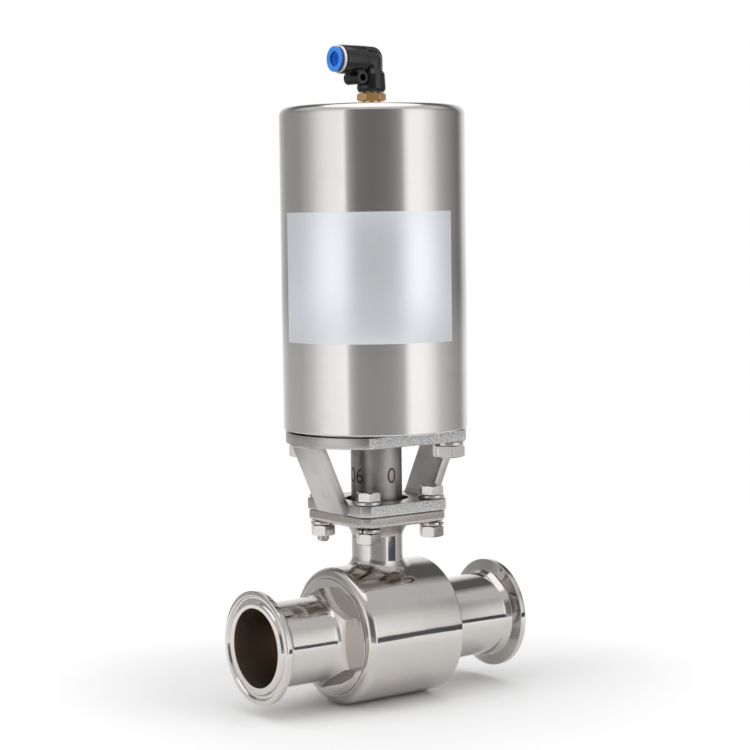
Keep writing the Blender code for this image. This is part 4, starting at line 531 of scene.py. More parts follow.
refinish(body_piece, "satin_cast", lambda centre, normal: centre.z > FLANGE_LOW)
# The flare under the flange gets painted shade: a darker, rougher finish.
refinish(body_piece, "cast_skin_painted_shade", lambda centre, normal: -6.1 < centre.z - FLANGE_LOW < 0.3
         and NECK - 0.7 < math.hypot(centre.x, centre.y) < 17.0)
print("body faces:", len(body.polygons), "flange top at", round(FLANGE_TOP, 2), "mm")

# %% [markdown]
# ## End cap
# The inlet side is a cap screwed into the drum. Behind its round plug is a hexagon for the spanner, whose
# back is turned to a cone, so that each flat ends in a scalloped curve. It is turned whole, and then six
# flats are milled between the plug and the tube.

# %% End cap
PLUG, HEX_CORNER, FLAT_START, FLAT_END = 26.28, 22.52, 27.03, 36.0
cap = section((-21.424, BORE), (-21.424, 23.7), (-14.3, 23.7), (-14.3, PLUG), (-27.0, PLUG, 0.15),
              (-27.0, 22.9, 0.3), (-32.7, 22.9, 0.2), (-34.8, 19.6, 0.3), (-36.2, 19.2, 1.0), (-37.6, TUBE, 2.0),
              *clamp_ferrule(FACE, -1.0))
flat_rings = [polygon(HEX_CORNER, 6, FLAT_START), polygon(40.0, 6, FLAT_START), polygon(40.0, 6, FLAT_END),
              polygon(HEX_CORNER, 6, FLAT_END)]
flats = skin("cap_flats", [[Matrix.Rotation(-RIGHT, 3, "Y") @ point for point in ring] for ring in flat_rings],
             loop=True)
cap_mesh = mill(lathe("end_cap_turned", cap, "X", 192), cut(flats), sharp=20.0)
cap_piece = place_piece("end_cap_turned", cap_mesh, "mirror_tube", "end_cap", ["end_cap"])
# The bore gets the painted shade of a deep bore.
refinish(cap_piece, "bore_dull_painted_shade", in_bore)
# The hexagon's flats get a rougher finish with painted shade.
refinish(cap_piece, "milled_flat_painted_shade", lambda centre, normal: 27.1 < -centre.x < FLAT_END and abs(normal.x) < 0.01
         and 19.2 < math.hypot(centre.y, centre.z) < 22.0)
print("cap faces:", len(cap_mesh.polygons))

# %% [markdown]
# ## Ball and seats
# The ball is ground and lapped until it shuts tight against two plastic seats. Looking into the inlet one
# sees its closed side. It is a fine sphere with the bore cut across and a slot for the stem's tang.

# %% Ball
BALL = 25.0
bm = bmesh.new()
bmesh.ops.create_uvsphere(bm, u_segments=128, v_segments=64, radius=BALL * MM)
ball = mill(finished_mesh("ball_lapped", bm), cut(rod("bore", BORE, -40.0, 40.0, "Y", 96)),
            cut(block("tang_slot", (60.0, 8.6, 10.0), (0.0, 0.0, 26.8))))
place_piece("ball_lapped", ball, "ball_mirror", "ball", ["ball"])
print("ball faces:", len(ball.polygons))

# %% [markdown]
# ## Seats
# The two seats are rings of white fluoropolymer whose lip is cut to the ball's sphere. They show as a
# pale line at the end of the bore, so they are turned again with a fine lip.

# %% Seats
def soft_plastic(name, colour, base, depth=0.00001, grain=0.0006, **constants):
    shader, place = start_finish(name, colour, base, 0.0, **constants)
    fine = place.noise(grain, 3.0)
    broad = place.noise(0.012, 3.0).ramp(0.45, 0.75)
    drive(shader, Roughness=base - 0.04 + fine * 0.08 + broad * 0.04, Normal=fine.bump(depth),
          Base_Color=broad.blend(rgba(*colour), rgba(*darker(colour, 0.90))))


soft_plastic("white_polymer", (0.88, 0.87, 0.83), 0.42)
LIP = BALL + 0.4
radii = [21.5 - 3.95 * step / 8 for step in range(9)]
lip = [(math.sqrt(LIP ** 2 - radius ** 2), radius) for radius in radii]
for side, node in ((-1.0, "seat_ring_inlet"), (1.0, "seat_ring_outlet")):
    ring = [(side * along, radius) for along, radius in lip + [(21.124, BORE), (21.124, 23.4), (13.524, 23.4)]]
    turn_piece(node + "_turned", ring, "X", 128, "white_polymer", node)
print("seats turned, lip radius", LIP, "mm")

# %% [markdown]
# ## Bracket
# Two plates and two leaning legs are cut from 5 mm stainless plate and welded. The square base plate sits
# on the body's flange, the round top plate with two flats carries the actuator, and each leg is welded
# along its ends with a short bead. Faces are dull, cut edges sparkle, so the two get different finishes.

# %% Bracket plates
def rounded_plate(name, outline, low, high, edge=0.35):
    """A plate from an outline in mm whose upper and lower edges are broken by a small radius."""
    centre = sum((Vector(point) for point in outline), Vector((0.0, 0.0))) / len(outline)
    rings = []
    for z, inset in ((low, edge), (low + edge * 0.3, edge * 0.3), (low + edge, 0.0), (high - edge, 0.0),
                     (high - edge * 0.3, edge * 0.3), (high, edge)):
        rings.append([])
        for point in outline:
            inward = (centre - Vector(point)).normalized() * inset
            rings[-1].append(Vector((point[0] + inward.x, point[1] + inward.y, z)) * MM)
    return skin(name, rings)


def cut_plate(name, outline, low, passage, hole_radius, spots, smooth_from, hides=()):
    """A bracket plate: its cut edge sparkles, but is smooth where it faces along X."""
    plate = mill(rounded_plate(name, outline, low, low + PLATE),
                 cut(rod("passage", passage, low - 2.0, low + 7.0, sides=96)),
                 *holes(hole_radius, low - 1.0, low + 6.0, spots))
    piece = place_piece(name, plate, "plate_face", "mounting_bracket", hides)
    refinish(piece, "plate_edge", lambda centre, normal: abs(normal.z) < 0.5 and centre.xy.dot(normal.xy) > 0.0
             and low + 0.4 < centre.z < low + PLATE - 0.4)
    refinish(piece, "leg_blasted", lambda centre, normal: abs(normal.x) > smooth_from and abs(centre.x) > 15.0)


bracket_low, bracket_high = box_mm("mounting_bracket")
PLATE, EYE, M8_HOLE = 5.0, 23.497, 4.3
base_z, top_z = bracket_low.z, bracket_high.z - PLATE
base_outline = [(point.x / MM, point.y / MM) for point in square_ring(24.0, 3.4, 0.0, 0.8)]
cut_plate("bracket_base_plate", base_outline, base_z, 14.4, M6_HOLE, CORNERS, 0.6, ["mounting_bracket"])
FLAT = bracket_high.y
reach = math.asin(FLAT / bracket_high.x)
disc_outline = []
for start in (-reach, math.pi - reach):
    disc_outline += [(bracket_high.x * math.cos(start + 2.0 * reach * step / 48),
                      bracket_high.x * math.sin(start + 2.0 * reach * step / 48)) for step in range(49)]
cut_plate("bracket_top_plate", disc_outline, top_z, 12.4, M8_HOLE, [(-EYE, EYE), (EYE, -EYE)], 0.55)
print("plates at z", round(base_z, 1), "and", round(top_z, 1), "mm")

# %% Legs and weld beads
LEG = 4.8


def leg_x(z):
    """The outside of a leg at one height, in mm."""
    return 25.8 + 14.5 * (z - 55.7) / 32.7


def bead(name, side, x, z, radius, half=9.4, count=36):
    """A weld bead along Y: a round bar whose thickness ripples as the torch steps along."""
    rings = []
    for step in range(count + 1):
        share = step / count
        y = -half + 2.0 * half * share
        end = math.sqrt(max(0.0, 1.0 - abs(2.0 * share - 1.0) ** 8)) + 0.02
        size = radius * end * (1.0 + 0.10 * math.cos(FULL * step / 3.0))
        rings.append([Vector((side * x + size * math.cos(turn), y, z + size * math.sin(turn))) * MM
                      for turn in (FULL * i / 16 for i in range(16))])
    place_piece(name, skin(name, rings), "leg_blasted", "mounting_bracket")


for side, word in ((-1.0, "left"), (1.0, "right")):
    bm = bmesh.new()
    low_z, high_z = base_z + 0.2, top_z + 0.6
    corners = [(leg_x(low_z), low_z), (leg_x(high_z), high_z), (leg_x(high_z) - LEG, high_z),
               (leg_x(low_z) - LEG, low_z)]
    rows = [[bm.verts.new(Vector((side * x, y, z)) * MM) for x, z in corners] for y in (-10.0, 10.0)]
    for index in range(4):
        after = (index + 1) % 4
        bm.faces.new((rows[0][index], rows[0][after], rows[1][after], rows[1][index]))
    bm.faces.new(rows[0])
    bm.faces.new(rows[1])
    bmesh.ops.bevel(bm, geom=bm.edges[:], offset=0.45 * MM, segments=3, profile=0.5, affect="EDGES", material=-1)
    place_piece("bracket_leg_" + word, finished_mesh("bracket_leg_" + word, bm, 50.0), "leg_blasted",
                "mounting_bracket")
    bead("weld_foot_" + word, side, leg_x(base_z + PLATE) - LEG - 0.3, base_z + PLATE + 0.1, 0.9)
    bead("weld_head_" + word, side, leg_x(top_z) - LEG - 0.2, top_z - 0.1, 0.9)
    bead("weld_back_" + word, side, leg_x(top_z) + 0.1, top_z - 0.1, 0.7)
print("leg thickness", LEG, "mm, foot at", round(leg_x(base_z), 1), "head at", round(leg_x(top_z), 1))

# %% [markdown]
# ## Coupling sleeve
# A round bar, blasted dull, with a smaller square broached from below for the stem and a larger one from
# above for the shaft. The two positions are burnt brown into its skin: here the plain numbers 0 and 90, a
# quarter turn apart, upside down as the sleeve is fitted. Each is a flat outline that is bent round.

# %% Sleeve with its position numbers
sleeve_low, sleeve_high = box_mm("coupling_sleeve")
SLEEVE = 11.6
bar = section((sleeve_low.z, 0.0), (sleeve_low.z, SLEEVE, 0.5), (sleeve_high.z, SLEEVE, 0.5), (sleeve_high.z, 0.0))
sleeve = mill(lathe("coupling_sleeve_blasted", bar), cut(block("stem_square", (9.0, 9.0, 21.9), (0.0, 0.0, 60.95))),
              cut(block("shaft_square", (11.0, 11.0, 23.6), (0.0, 0.0, 83.2))))
place_piece("coupling_sleeve_blasted", sleeve, "sleeve_blasted", "coupling_sleeve", ["coupling_sleeve"])

shader, place = start_finish("burnt_mark", (0.11, 0.055, 0.035), 0.55, 0.3)
burn = place.noise(0.0007, 3.0)
drive(shader, Base_Color=burn.blend(rgba(0.16, 0.08, 0.05), rgba(0.05, 0.025, 0.02)), Roughness=0.45 + burn * 0.25)


def burnt_number(name, words, azimuth, z, height):
    """Numbers as a thin skin on the sleeve, centred at an azimuth; 0 faces -Y."""
    curve = bpy.data.curves.new(name, "FONT")
    curve.body, curve.size, curve.align_x, curve.align_y = words, height * 1.38, "CENTER", "CENTER"
    curve.resolution_u = 8
    text = into_scene(name, curve)
    bpy.context.view_layer.update()
    flat = bpy.data.meshes.new_from_object(text.evaluated_get(bpy.context.evaluated_depsgraph_get()))
    bpy.data.objects.remove(text)
    bm = bmesh.new()
    bm.from_mesh(flat)
    for step in range(-12, 13):
        bmesh.ops.bisect_plane(bm, geom=bm.verts[:] + bm.edges[:] + bm.faces[:], dist=0.00001,
                               plane_co=(step * 0.8, 0.0, 0.0), plane_no=(1.0, 0.0, 0.0))
    grown = bmesh.ops.extrude_face_region(bm, geom=bm.faces[:])["geom"]
    skin_verts = {item for item in grown if isinstance(item, bmesh.types.BMVert)}
    for vert in bm.verts:
        radius = SLEEVE + (0.03 if vert in skin_verts else -0.02)
        angle = math.radians(azimuth) - vert.co.x / SLEEVE
        vert.co = Vector((radius * math.sin(angle), -radius * math.cos(angle), z - vert.co.y)) * MM
    place_piece(name, finished_mesh(name, bm), "burnt_mark", "coupling_sleeve")


burnt_number("position_mark_closed", "0", 0.0, 72.3, 7.2)
burnt_number("position_mark_open", "90", -90.0, 72.3, 7.2)
print("sleeve faces:", len(sleeve.polygons))

# %% [markdown]
# ## Bolts, nuts and washers
# Hexagon heads are forged and then chamfered at 30 degrees, which leaves a round crown and six small
# curves. Threads are rolled: here a sharp ridge is wound up the shank. Split washers are cut through and
# sprung slightly open. All are bright, with the faint grain of cold forming.

# %% Fastener shapes
def hex_block(name, across, low, high, crown_low, crown_high):
    """A hexagonal block in mm whose ends may be chamfered to a round crown."""
    crown, outer = across * 0.475, across * 0.62
    rise = (outer - crown) * math.tan(math.radians(30.0))
    blank = [(low, 0.0), (low, crown if crown_low else outer)]
    if crown_low:
        blank.append((low + rise, outer))
    if crown_high:
        blank.append((high - rise, outer))
    blank += [(high, crown if crown_high else outer), (high, 0.0)]
    corners = [(point.x / MM, point.y / MM, 0.3) for point in polygon(across / 2.0 / math.cos(math.pi / 6.0), 6)]
    outline = section(*corners, arc_steps=4)
    block = skin(name, [[Vector((x, y, z)) * MM for x, y in outline] for z in (low, high)])
    return mill(block, ("INTERSECT", lathe(name + "_blank", blank, sides=96)), sharp=20.0)


def wound(name, profile, turns, steps, rise=0.0, sharp=32.0):
    """Wind a closed profile of (height, radius) round Z, rising by each step, and close its two ends."""
    bm = bmesh.new()
    verts = [bm.verts.new(Vector((radius, 0.0, z)) * MM) for z, radius in profile]
    edges = [bm.edges.new((verts[i], verts[(i + 1) % len(verts)])) for i in range(len(verts))]
    bmesh.ops.spin(bm, geom=verts + edges, cent=(0.0, 0.0, 0.0), axis=AXES["Z"], angle=FULL * turns, steps=steps,
                   dvec=(0.0, 0.0, rise * MM), use_merge=False)
    bmesh.ops.holes_fill(bm, edges=[edge for edge in bm.edges if edge.is_boundary], sides=0)
    return finished_mesh(name, bm, sharp)


def thread(radius, pitch, low, high, sides=32):
    """A sharp ridge for a screw thread."""
    turns = max(1.0, (high - low) / pitch - 1.0)
    root = radius - 0.62 * pitch
    ridge = [(low + 0.02 * pitch, root), (low + 0.98 * pitch, root), (low + 0.56 * pitch, radius),
             (low + 0.44 * pitch, radius)]
    return wound("thread", ridge, turns, int(turns * sides), pitch / sides, 20.0)


def joined(name, *meshes, sharp=20.0):
    """Several meshes as one."""
    bm = bmesh.new()
    for mesh in meshes:
        bm.from_mesh(mesh)
    return finished_mesh(name, bm, sharp)


def split_washer(name, inner, outer, low, high):
    points = section((low, inner, 0.12), (low, outer, 0.2), (high, outer, 0.2), (high, inner, 0.12))
    return wound(name, points, 350.0 / 360.0, 64)


def place_fastener(kind, index, mesh, spot, turn):
    """A copy of a fastener, turned and moved to its spot, in place of its node."""
    node = f"{kind}_{index}"
    copy = mesh.copy()
    copy.transform(Matrix.Translation((*spot, 0.0)) @ Matrix.Rotation(math.radians(turn), 4, "Z"))
    place_piece(node + "_bright", copy, "bright_bolt", node, [node])


brushed("bright_bolt", (0.62, 0.598, 0.576), 0.14, 0.000004, 0.0006, 0.12)
m6_head = hex_block("m6_head", 10.0, 62.7, 66.7, False, True)
m6_nut = mill(hex_block("m6_nut", 10.0, 43.3, 48.3, True, True), cut(rod("hole", M6_HOLE, 40.0, 50.0)), sharp=20.0)
m6_flat = lathe("m6_flat", section((61.0, M6_HOLE, 0.1), (61.0, 6.0, 0.25), (62.4, 6.0, 0.25), (62.4, M6_HOLE, 0.1)),
                sides=64)
m6_split = split_washer("m6_split", M6_HOLE, 5.6, 48.6, 50.0)
for index, x, y, tip, head_turn, nut_turn in ((1, 1, 1, 40.7, 12.0, 30.0), (2, -1, 1, 40.7, 40.0, 4.5),
                                              (3, -1, -1, 43.9, 5.0, 3.7), (4, 1, -1, 43.9, 4.0, 4.5)):
    shank = lathe("shank", section((tip, 0.0), (tip, 2.3), (tip + 0.6, 2.62), (62.8, 2.62), (62.8, 0.0)), sides=48)
    bolt = joined("m6", m6_head, shank, thread(2.98, 1.0, tip + 0.2, 56.0))
    for kind, mesh, turn in (("bolt", bolt, head_turn), ("nut", m6_nut, nut_turn), ("washer", m6_flat, 0.0),
                             ("spring_washer", m6_split, 70.0 * index)):
        place_fastener("bracket_" + kind, index, mesh, (x * BOLT * MM, y * BOLT * MM), turn)
m8_head = hex_block("m8_head", 13.0, 79.5, 84.8, True, False)
m8_shank = lathe("m8_shank", section((84.7, 0.0), (84.7, 3.45), (100.2, 3.45), (100.8, 3.0), (100.8, 0.0)), sides=48)
m8_bolt = joined("m8", m8_head, m8_shank, thread(3.97, 1.25, 86.0, 100.4))
m8_split = split_washer("m8_split", M8_HOLE, 6.8, 85.1, 86.7)
for index, x, turn in ((1, 1, 66.7), (2, -1, 50.0)):
    for kind, mesh in (("bolt", m8_bolt), ("spring_washer", m8_split)):
        place_fastener("actuator_" + kind, index, mesh, (x * EYE * MM, -x * EYE * MM), turn)
print("fasteners placed:", 4 * 4 + 2 * 2)

# %% [markdown]
# ## Actuator can
# The cylinder of the actuator is drawn from stainless sheet, with a soft shoulder at its closed top, and
# polished on a belt. Air enters through a tapped boss in the middle. A groove near its foot holds the
# ring that keeps the end cover in. It is one long section, spun.

# %% Can
can_low, can_high = box_mm("actuator_barrel")
CAN = can_high.x - 0.16
can = section((can_low.z, 39.5), (94.1, 39.5), (94.1, 40.7), (96.1, 40.7), (96.1, 39.5), (235.2, 39.5, 1.5),
              (235.2, 9.0), (231.2, 9.0), (231.2, 4.9), (can_high.z, 4.9, 0.3), (can_high.z, CAN, 4.0),
              (can_low.z, CAN, 0.7), arc_steps=10)
turn_piece("actuator_can_drawn", can, "Z", 240, "can_steel", "actuator_barrel")
print("can radius", round(CAN, 2), "mm, height", round(can_high.z - can_low.z, 1), "mm")

# %% [markdown]
# ## Foil plate
# A thin anodised aluminium foil is stuck round the front of the can. It is left bare: a satin silver with
# a faint blue cast, fine grain along its length, and a cut edge that stands just proud of the steel.

# %% Foil
shader, place = start_finish("satin_foil", (0.86, 0.885, 0.925), 0.30, 0.60)
grain = place.stretched(1.0, 1.0, 0.03).noise(0.0005, 3.0)
cloud = place.noise(0.03, 3.0)
drive(shader, Roughness=0.285 + grain * 0.05 + cloud * 0.03, Normal=grain.bump(0.000006),
      Base_Color=cloud.blend(rgba(0.87, 0.895, 0.935), rgba(0.82, 0.845, 0.885)))


def on_can(azimuth, radius, z):
    angle = math.radians(azimuth)
    return Vector((radius * math.sin(angle), -radius * math.cos(angle), z)) * MM


FOIL_START, FOIL_ARC, FOIL_LOW, FOIL_HIGH = -101.4, 119.7, 133.2, 190.6
edge = [(0.02, FOIL_LOW), (0.12, FOIL_LOW), (0.15, FOIL_LOW + 0.06), (0.15, FOIL_HIGH - 0.06), (0.12, FOIL_HIGH),
        (0.02, FOIL_HIGH)]
foil_rings = [[on_can(FOIL_START + FOIL_ARC * step / 96, CAN + proud, z) for proud, z in edge] for step in range(97)]
place_piece("foil_plate", skin("foil_plate", foil_rings), "satin_foil", "actuator_barrel")
print("foil arc", round(math.radians(FOIL_ARC) * CAN, 1), "x", round(FOIL_HIGH - FOIL_LOW, 1), "mm")

# %% [markdown]
# ## Air fitting
# A brass stud is screwed into the boss: a thread, a small hexagon and a spigot. A black moulded elbow
# swivels on the spigot. Its socket takes a plastic tube, which is let go by pushing the blue collet in.

# %% Brass stud
brushed("brass", (1.0, 0.63, 0.29), 0.22, 0.000008, 0.0004, 0.10)
stud_hex = hex_block("stud_hex", 11.5, 240.1, 243.9, True, True)
stud_hex.transform(Matrix.Rotation(RIGHT, 4, "Z"))
stud_core = lathe("stud_core", [(231.5, 2.2), (231.5, 4.15), (240.6, 4.15), (240.6, 3.6), (246.9, 3.6), (246.9, 3.0),
                                (247.9, 3.0), (247.9, 3.6), (250.7, 3.6), (250.9, 3.4), (250.9, 2.2)], sides=64)
stud_hex = mill(stud_hex, cut(rod("stud_bore", 3.5, 230.0, 252.0)), sharp=20.0)
stud = joined("stud", stud_hex, stud_core, thread(4.6, 0.9, 232.0, 239.9))
place_piece("fitting_stud_brass", stud, "brass", "fitting_stud", ["fitting_stud"])
stud_box = box_mm("fitting_stud")
print("stud from", round(stud_box[0].z, 1), "to", round(stud_box[1].z, 1), "mm")

# %% Black elbow
shader, place = start_finish("black_plastic", (0.009, 0.009, 0.010), 0.20, 0.0, Specular_IOR_Level=0.50)
pebble = place.noise(0.0009, 2.0)
sink = place.noise(0.006, 2.0)
scuff = place.stretched(1.0, 1.0, 0.2).noise(0.0012, 4.0).ramp(0.60, 0.72)
drive(shader, Roughness=0.13 + pebble * 0.05 + scuff * 0.14, Normal=(pebble * 0.25 + sink).bump(0.00006),
      Base_Color=scuff.blend(rgba(0.009, 0.009, 0.010), rgba(0.03, 0.03, 0.032)))

AXIS, PIPE = 258.4, 4.7
lift = (0.0, 0.0, AXIS * MM)
base = section((244.2, 0.0), (244.2, 5.8, 0.25), (245.7, 6.55, 0.5), (252.3, 6.15, 0.3), (254.7, PIPE, 0.4),
               (AXIS, PIPE), (AXIS, 0.0))
knee = [(AXIS + PIPE * math.sin(RIGHT * step / 12), PIPE * math.cos(RIGHT * step / 12)) for step in range(12)]
knee = [(AXIS - 3.0, 0.0), (AXIS - 3.0, PIPE)] + knee + [(AXIS + PIPE, 0.0)]
rib = section((-5.6, AXIS), (-5.6, AXIS + 6.25), (5.5, AXIS + 5.75, 5.2), (5.5, 252.6), (0.0, 252.6), (0.0, AXIS))
rib = skin("rib", [[Vector((x, y, z)) * MM for x, z in rib] for y in (-1.25, 1.25)])
arm = section((-17.0, 0.0), (-17.0, 6.45, 0.35), (-5.2, 6.45, 0.45), (-5.2, PIPE, 0.1), (0.0, PIPE), (0.0, 0.0))
lug_spot = (-8.6 * MM, 0.0, (AXIS - 8.1) * MM)
lug = section((-5.5, 0.0), (-5.5, 2.9, 0.3), (5.5, 2.9, 0.3), (5.5, 0.0))
web = block("web", (4.0, 8.6, 3.6), (-8.6, 0.0, AXIS - 6.0))
riser = [(243.0, 0.0), (243.0, 3.9), (251.5, 3.9), (251.5, 2.2), (AXIS, 2.2), (AXIS, 0.0)]
socket = [(-18.0, 0.0), (-18.0, 4.9), (-9.6, 4.9), (-9.6, 3.1), (-7.5, 3.1), (-7.5, 2.2), (2.2, 2.2), (2.2, 0.0)]
elbow = mill(lathe("elbow", base, sides=96), weld(lathe("knee", knee, sides=96)),
             weld(lathe("arm", arm, "X", 96, lift)), weld(lathe("lug", lug, "Y", 64, lug_spot)), weld(web), weld(rib),
             cut(rod("lug_hole", 1.6, -9.0, 9.0, "Y", 48, lug_spot)), cut(lathe("riser", riser, sides=64)),
             cut(lathe("socket", socket, "X", 64, lift)))
place_piece("elbow_moulded", elbow, "black_plastic", "elbow_body", ["elbow_body"])
print("elbow faces:", len(elbow.polygons))

# %% Socket rings and collet
soft_plastic("pale_plastic", (0.83, 0.81, 0.74), 0.30)
# The blue plastic glows a little: its emission is painted light that brightens the collet.
soft_plastic("blue_plastic", (0.040, 0.235, 0.74), 0.24, Specular_IOR_Level=0.55,
             Emission_Color=rgba(0.02, 0.14, 0.50), Emission_Strength=0.3)
soft_plastic("seal_rubber", (0.020, 0.020, 0.020), 0.50, 0.00002)
pale = section((-17.3, 5.45), (-17.3, 6.1, 0.2), (-18.4, 6.1, 0.2), (-18.4, 5.45))
turn_piece("retainer_ring_moulded", pale, "X", 96, "pale_plastic", "retainer_ring", lift)
collet = section((-13.4, 3.1), (-13.4, 3.9), (-14.4, 4.6), (-14.7, 3.9), (-16.2, 3.9), (-16.2, 4.7, 0.1),
                 (-18.5, 4.7), (-18.5, 5.35, 0.1), (-20.0, 5.35), (-20.0, 5.7, 0.1), (-20.5, 5.7, 0.25),
                 (-20.5, 3.7, 0.2), (-20.0, 3.3, 0.2), (-19.2, 3.1))
collet_piece = turn_piece("release_collet_moulded", collet, "X", 96, "blue_plastic", "release_collet", lift)
# A darker blue without glow on the collet's neck, between the ring and the front disc, is painted shade.
soft_plastic("blue_painted_shade", (0.012, 0.070, 0.30), 0.30)
refinish(collet_piece, "blue_painted_shade", lambda centre, normal: -20.02 < centre.x < -18.4)
print("collet face at", round(box_mm("release_collet")[0].x, 2), "mm")

# %% [markdown]
# ## What is sealed inside
# The mechanism keeps the frame's own meshes. Each still gets the finish that its part has on the bench:
# turned aluminium, ground steel, oiled spring wire, bronze, white fluoropolymer and black rubber.

# %% Inner finishes
brushed("aluminium", (0.74, 0.745, 0.76), 0.30, 0.00001)
brushed("spring_wire", (0.34, 0.35, 0.37), 0.32, 0.00002, 0.0009, 0.14)
brushed("bronze", (0.60, 0.42, 0.22), 0.34, 0.00001)
by_slot = {"polished_steel": "mirror_tube", "brushed_steel": "turned_steel", "blasted_steel": "sleeve_blasted",
           "bolt_steel": "bright_bolt", "spring_steel": "spring_wire"}
for node, slot in SLOTS.items():
    mesh = nodes[node].data
    mesh.materials.clear()
    mesh.materials.append(FINISHES[by_slot.get(slot, slot)])
print("nodes shown from the frame:", sum(not node.hide_render for node in nodes.values()))

# %% [markdown]
# ## Return spring
# The one inner piece that changes shape is the spring. It is wound from round wire, with a closed turn at
# each end. In the valve its foot stays on the guide tube while the piston presses its top down by the whole
# stroke. Here it is wound at rest and gets a mesh of its own, and the share of its length left at full stroke
# is worked out.

# %% Spring
spring_low, spring_high = box_mm("return_spring")
WIRE, COILS, STROKE = 2.97, 6.0, 34.0
closed = 2.0 * WIRE + 0.3
open_rise = spring_high.z - spring_low.z - 2.0 * WIRE - 2.0 * closed
loops = []
for step in range(241):
    turns = COILS * step / 240
    climb = closed * (min(turns, 1.0) + max(turns - COILS + 1.0, 0.0))
    climb += open_rise * min(max((turns - 1.0) / (COILS - 2.0), 0.0), 1.0)
    across = Vector((math.cos(FULL * turns), math.sin(FULL * turns), 0.0))
    middle = (across * (spring_high.x - WIRE - 0.03) + AXES["Z"] * (spring_low.z + WIRE + climb)) * MM
    loops.append([middle + across * point.x + AXES["Z"] * point.y for point in polygon(WIRE, 12)])
spring = place_piece("return_spring_wound", skin("return_spring_wound", loops), "spring_wire", "return_spring",
                     ["return_spring"])
share = 1.0 - STROKE / (spring_high.z - spring_low.z)
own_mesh(spring)
print("spring", round(spring_high.z - spring_low.z, 1), "mm long, pressed to", round(share, 3), "of that")

# %% [markdown]
# ## Light, floor and camera
# The valve stands in a white studio. What makes polished steel look like steel is what it mirrors, so a
# round light tent stands about it. Its cloth is bright at both sides of the camera, dark behind the camera,
# dim at the far sides and white at the back. It fades upwards, with a dim band high up and a white disc
# overhead. Every piece sees the tent, but the camera looks through it, at plain white. A dark batten puts
# one dark line into the polished drum, and a pale floor takes a soft shadow.
# The floor also glows, not at all near the valve and fully further out, which paints shade round the valve.

# %% Tent
CAMERA_AZIMUTH = -36.285
TENT_RADIUS = 2.5
MIDDLE = (cad_low + cad_high) / 2.0


def outwards(azimuth, elevation):
    """The direction of a place round the valve, in degrees; azimuth 0 is at -Y."""
    a, e = math.radians(azimuth), math.radians(elevation)
    return Vector((math.sin(a) * math.cos(e), -math.cos(a) * math.cos(e), math.sin(e)))


toward = outwards(CAMERA_AZIMUTH, 0.0)
aside = Vector((-toward.y, toward.x, 0.0))
cloth = bpy.data.materials.new("tent_cloth")
cloth.use_nodes = True
tree = cloth.node_tree
tree.nodes.clear()
gaze = Wire(tree, tree.nodes.new("ShaderNodeTexCoord").outputs["Object"])
gaze = gaze.node("ShaderNodeVectorMath", {"operation": "SUBTRACT"}, {0: gaze, 1: tuple(MIDDLE)}, "Vector")


def along(direction):
    return gaze.node("ShaderNodeVectorMath", {"operation": "DOT_PRODUCT"}, {0: gaze, 1: tuple(direction)}, "Value")


angle = gaze.sum("ARCTAN2", along(aside), along(toward)) * (180.0 / math.pi)
height = gaze.sum("ARCSINE", along((0.0, 0.0, 1.0)) / TENT_RADIUS) * (180.0 / math.pi)


def curve_through(value, reach, stops):
    """Grey levels between (degrees, level) stops from -reach to reach, as a colour ramp."""
    ramp = tree.nodes.new("ShaderNodeValToRGB")
    tree.links.new(((value + reach) / (2.0 * reach)).socket, ramp.inputs[0])
    elements = ramp.color_ramp.elements
    for where, level in stops[1:-1]:
        elements.new((where + reach) / (2.0 * reach)).color = rgba(level, level, level)
    elements[0].color = rgba(*[stops[0][1]] * 3)
    elements[len(elements) - 1].color = rgba(*[stops[-1][1]] * 3)
    return Wire(tree, ramp.outputs[0])


around = [(-180, 1.0), (-165, 0.78), (-152, 0.52), (-133, 0.34), (-102, 0.33), (-84, 0.52), (-68, 0.86), (-58, 1.0),
          (-40, 1.08), (-34, 1.22), (-32.5, 0.55), (-26, 0.30), (-19, 0.19), (0, 0.165), (20, 0.20), (30, 0.29),
          (37, 0.42), (39, 0.80), (45, 1.18), (62, 1.15), (76, 0.88), (88, 0.52), (100, 0.38), (114, 0.26),
          (129, 0.17), (137, 0.30), (144, 0.62), (158, 0.82), (180, 1.0)]
rising = [(-90, 0.42), (-15, 0.45), (-11.5, 0.85), (-2, 0.85), (1, 1.0), (12, 0.95), (26, 0.78), (45, 0.66),
          (66, 0.60), (90, 0.56)]
overhead = [(-180, 0.9), (-166, 0.12), (-136, 0.12), (-112, 0.60), (112, 0.60), (134, 0.12), (168, 0.12), (180, 0.9)]
glowing = [(-90, 0.18), (-4, 0.18), (-1, 0.0), (90, 0.0)]
ring = curve_through(angle, 180.0, around)
fade = curve_through(height, 90.0, rising)
roof = curve_through(angle, 180.0, overhead)
panels = gaze.node("ShaderNodeMix", {"data_type": "RGBA", "blend_type": "MULTIPLY"}, {0: 1.0, 6: ring, 7: fade}, 2)
panels = height.ramp(22.0, 38.0).blend(panels, roof)
panels = height.ramp(55.0, 61.0).blend(panels, rgba(1.3, 1.3, 1.3))
haze = curve_through(height, 90.0, glowing)
panels = gaze.node("ShaderNodeMix", {"data_type": "RGBA", "blend_type": "ADD"}, {0: 1.0, 6: panels, 7: haze}, 2)
glow = tree.nodes.new("ShaderNodeEmission")
tree.links.new(panels.socket, glow.inputs["Color"])
glow.inputs["Strength"].default_value = 1.15
tree.links.new(glow.outputs[0], tree.nodes.new("ShaderNodeOutputMaterial").inputs["Surface"])
bm = bmesh.new()
bmesh.ops.create_uvsphere(bm, u_segments=96, v_segments=48, radius=TENT_RADIUS, matrix=Matrix.Translation(MIDDLE))
tent = into_scene("light_tent", finished_mesh("light_tent", bm))
tent.data.materials.append(cloth)
tent.visible_camera = False
print("tent:", len(around), "stops round,", len(rising), "stops up")

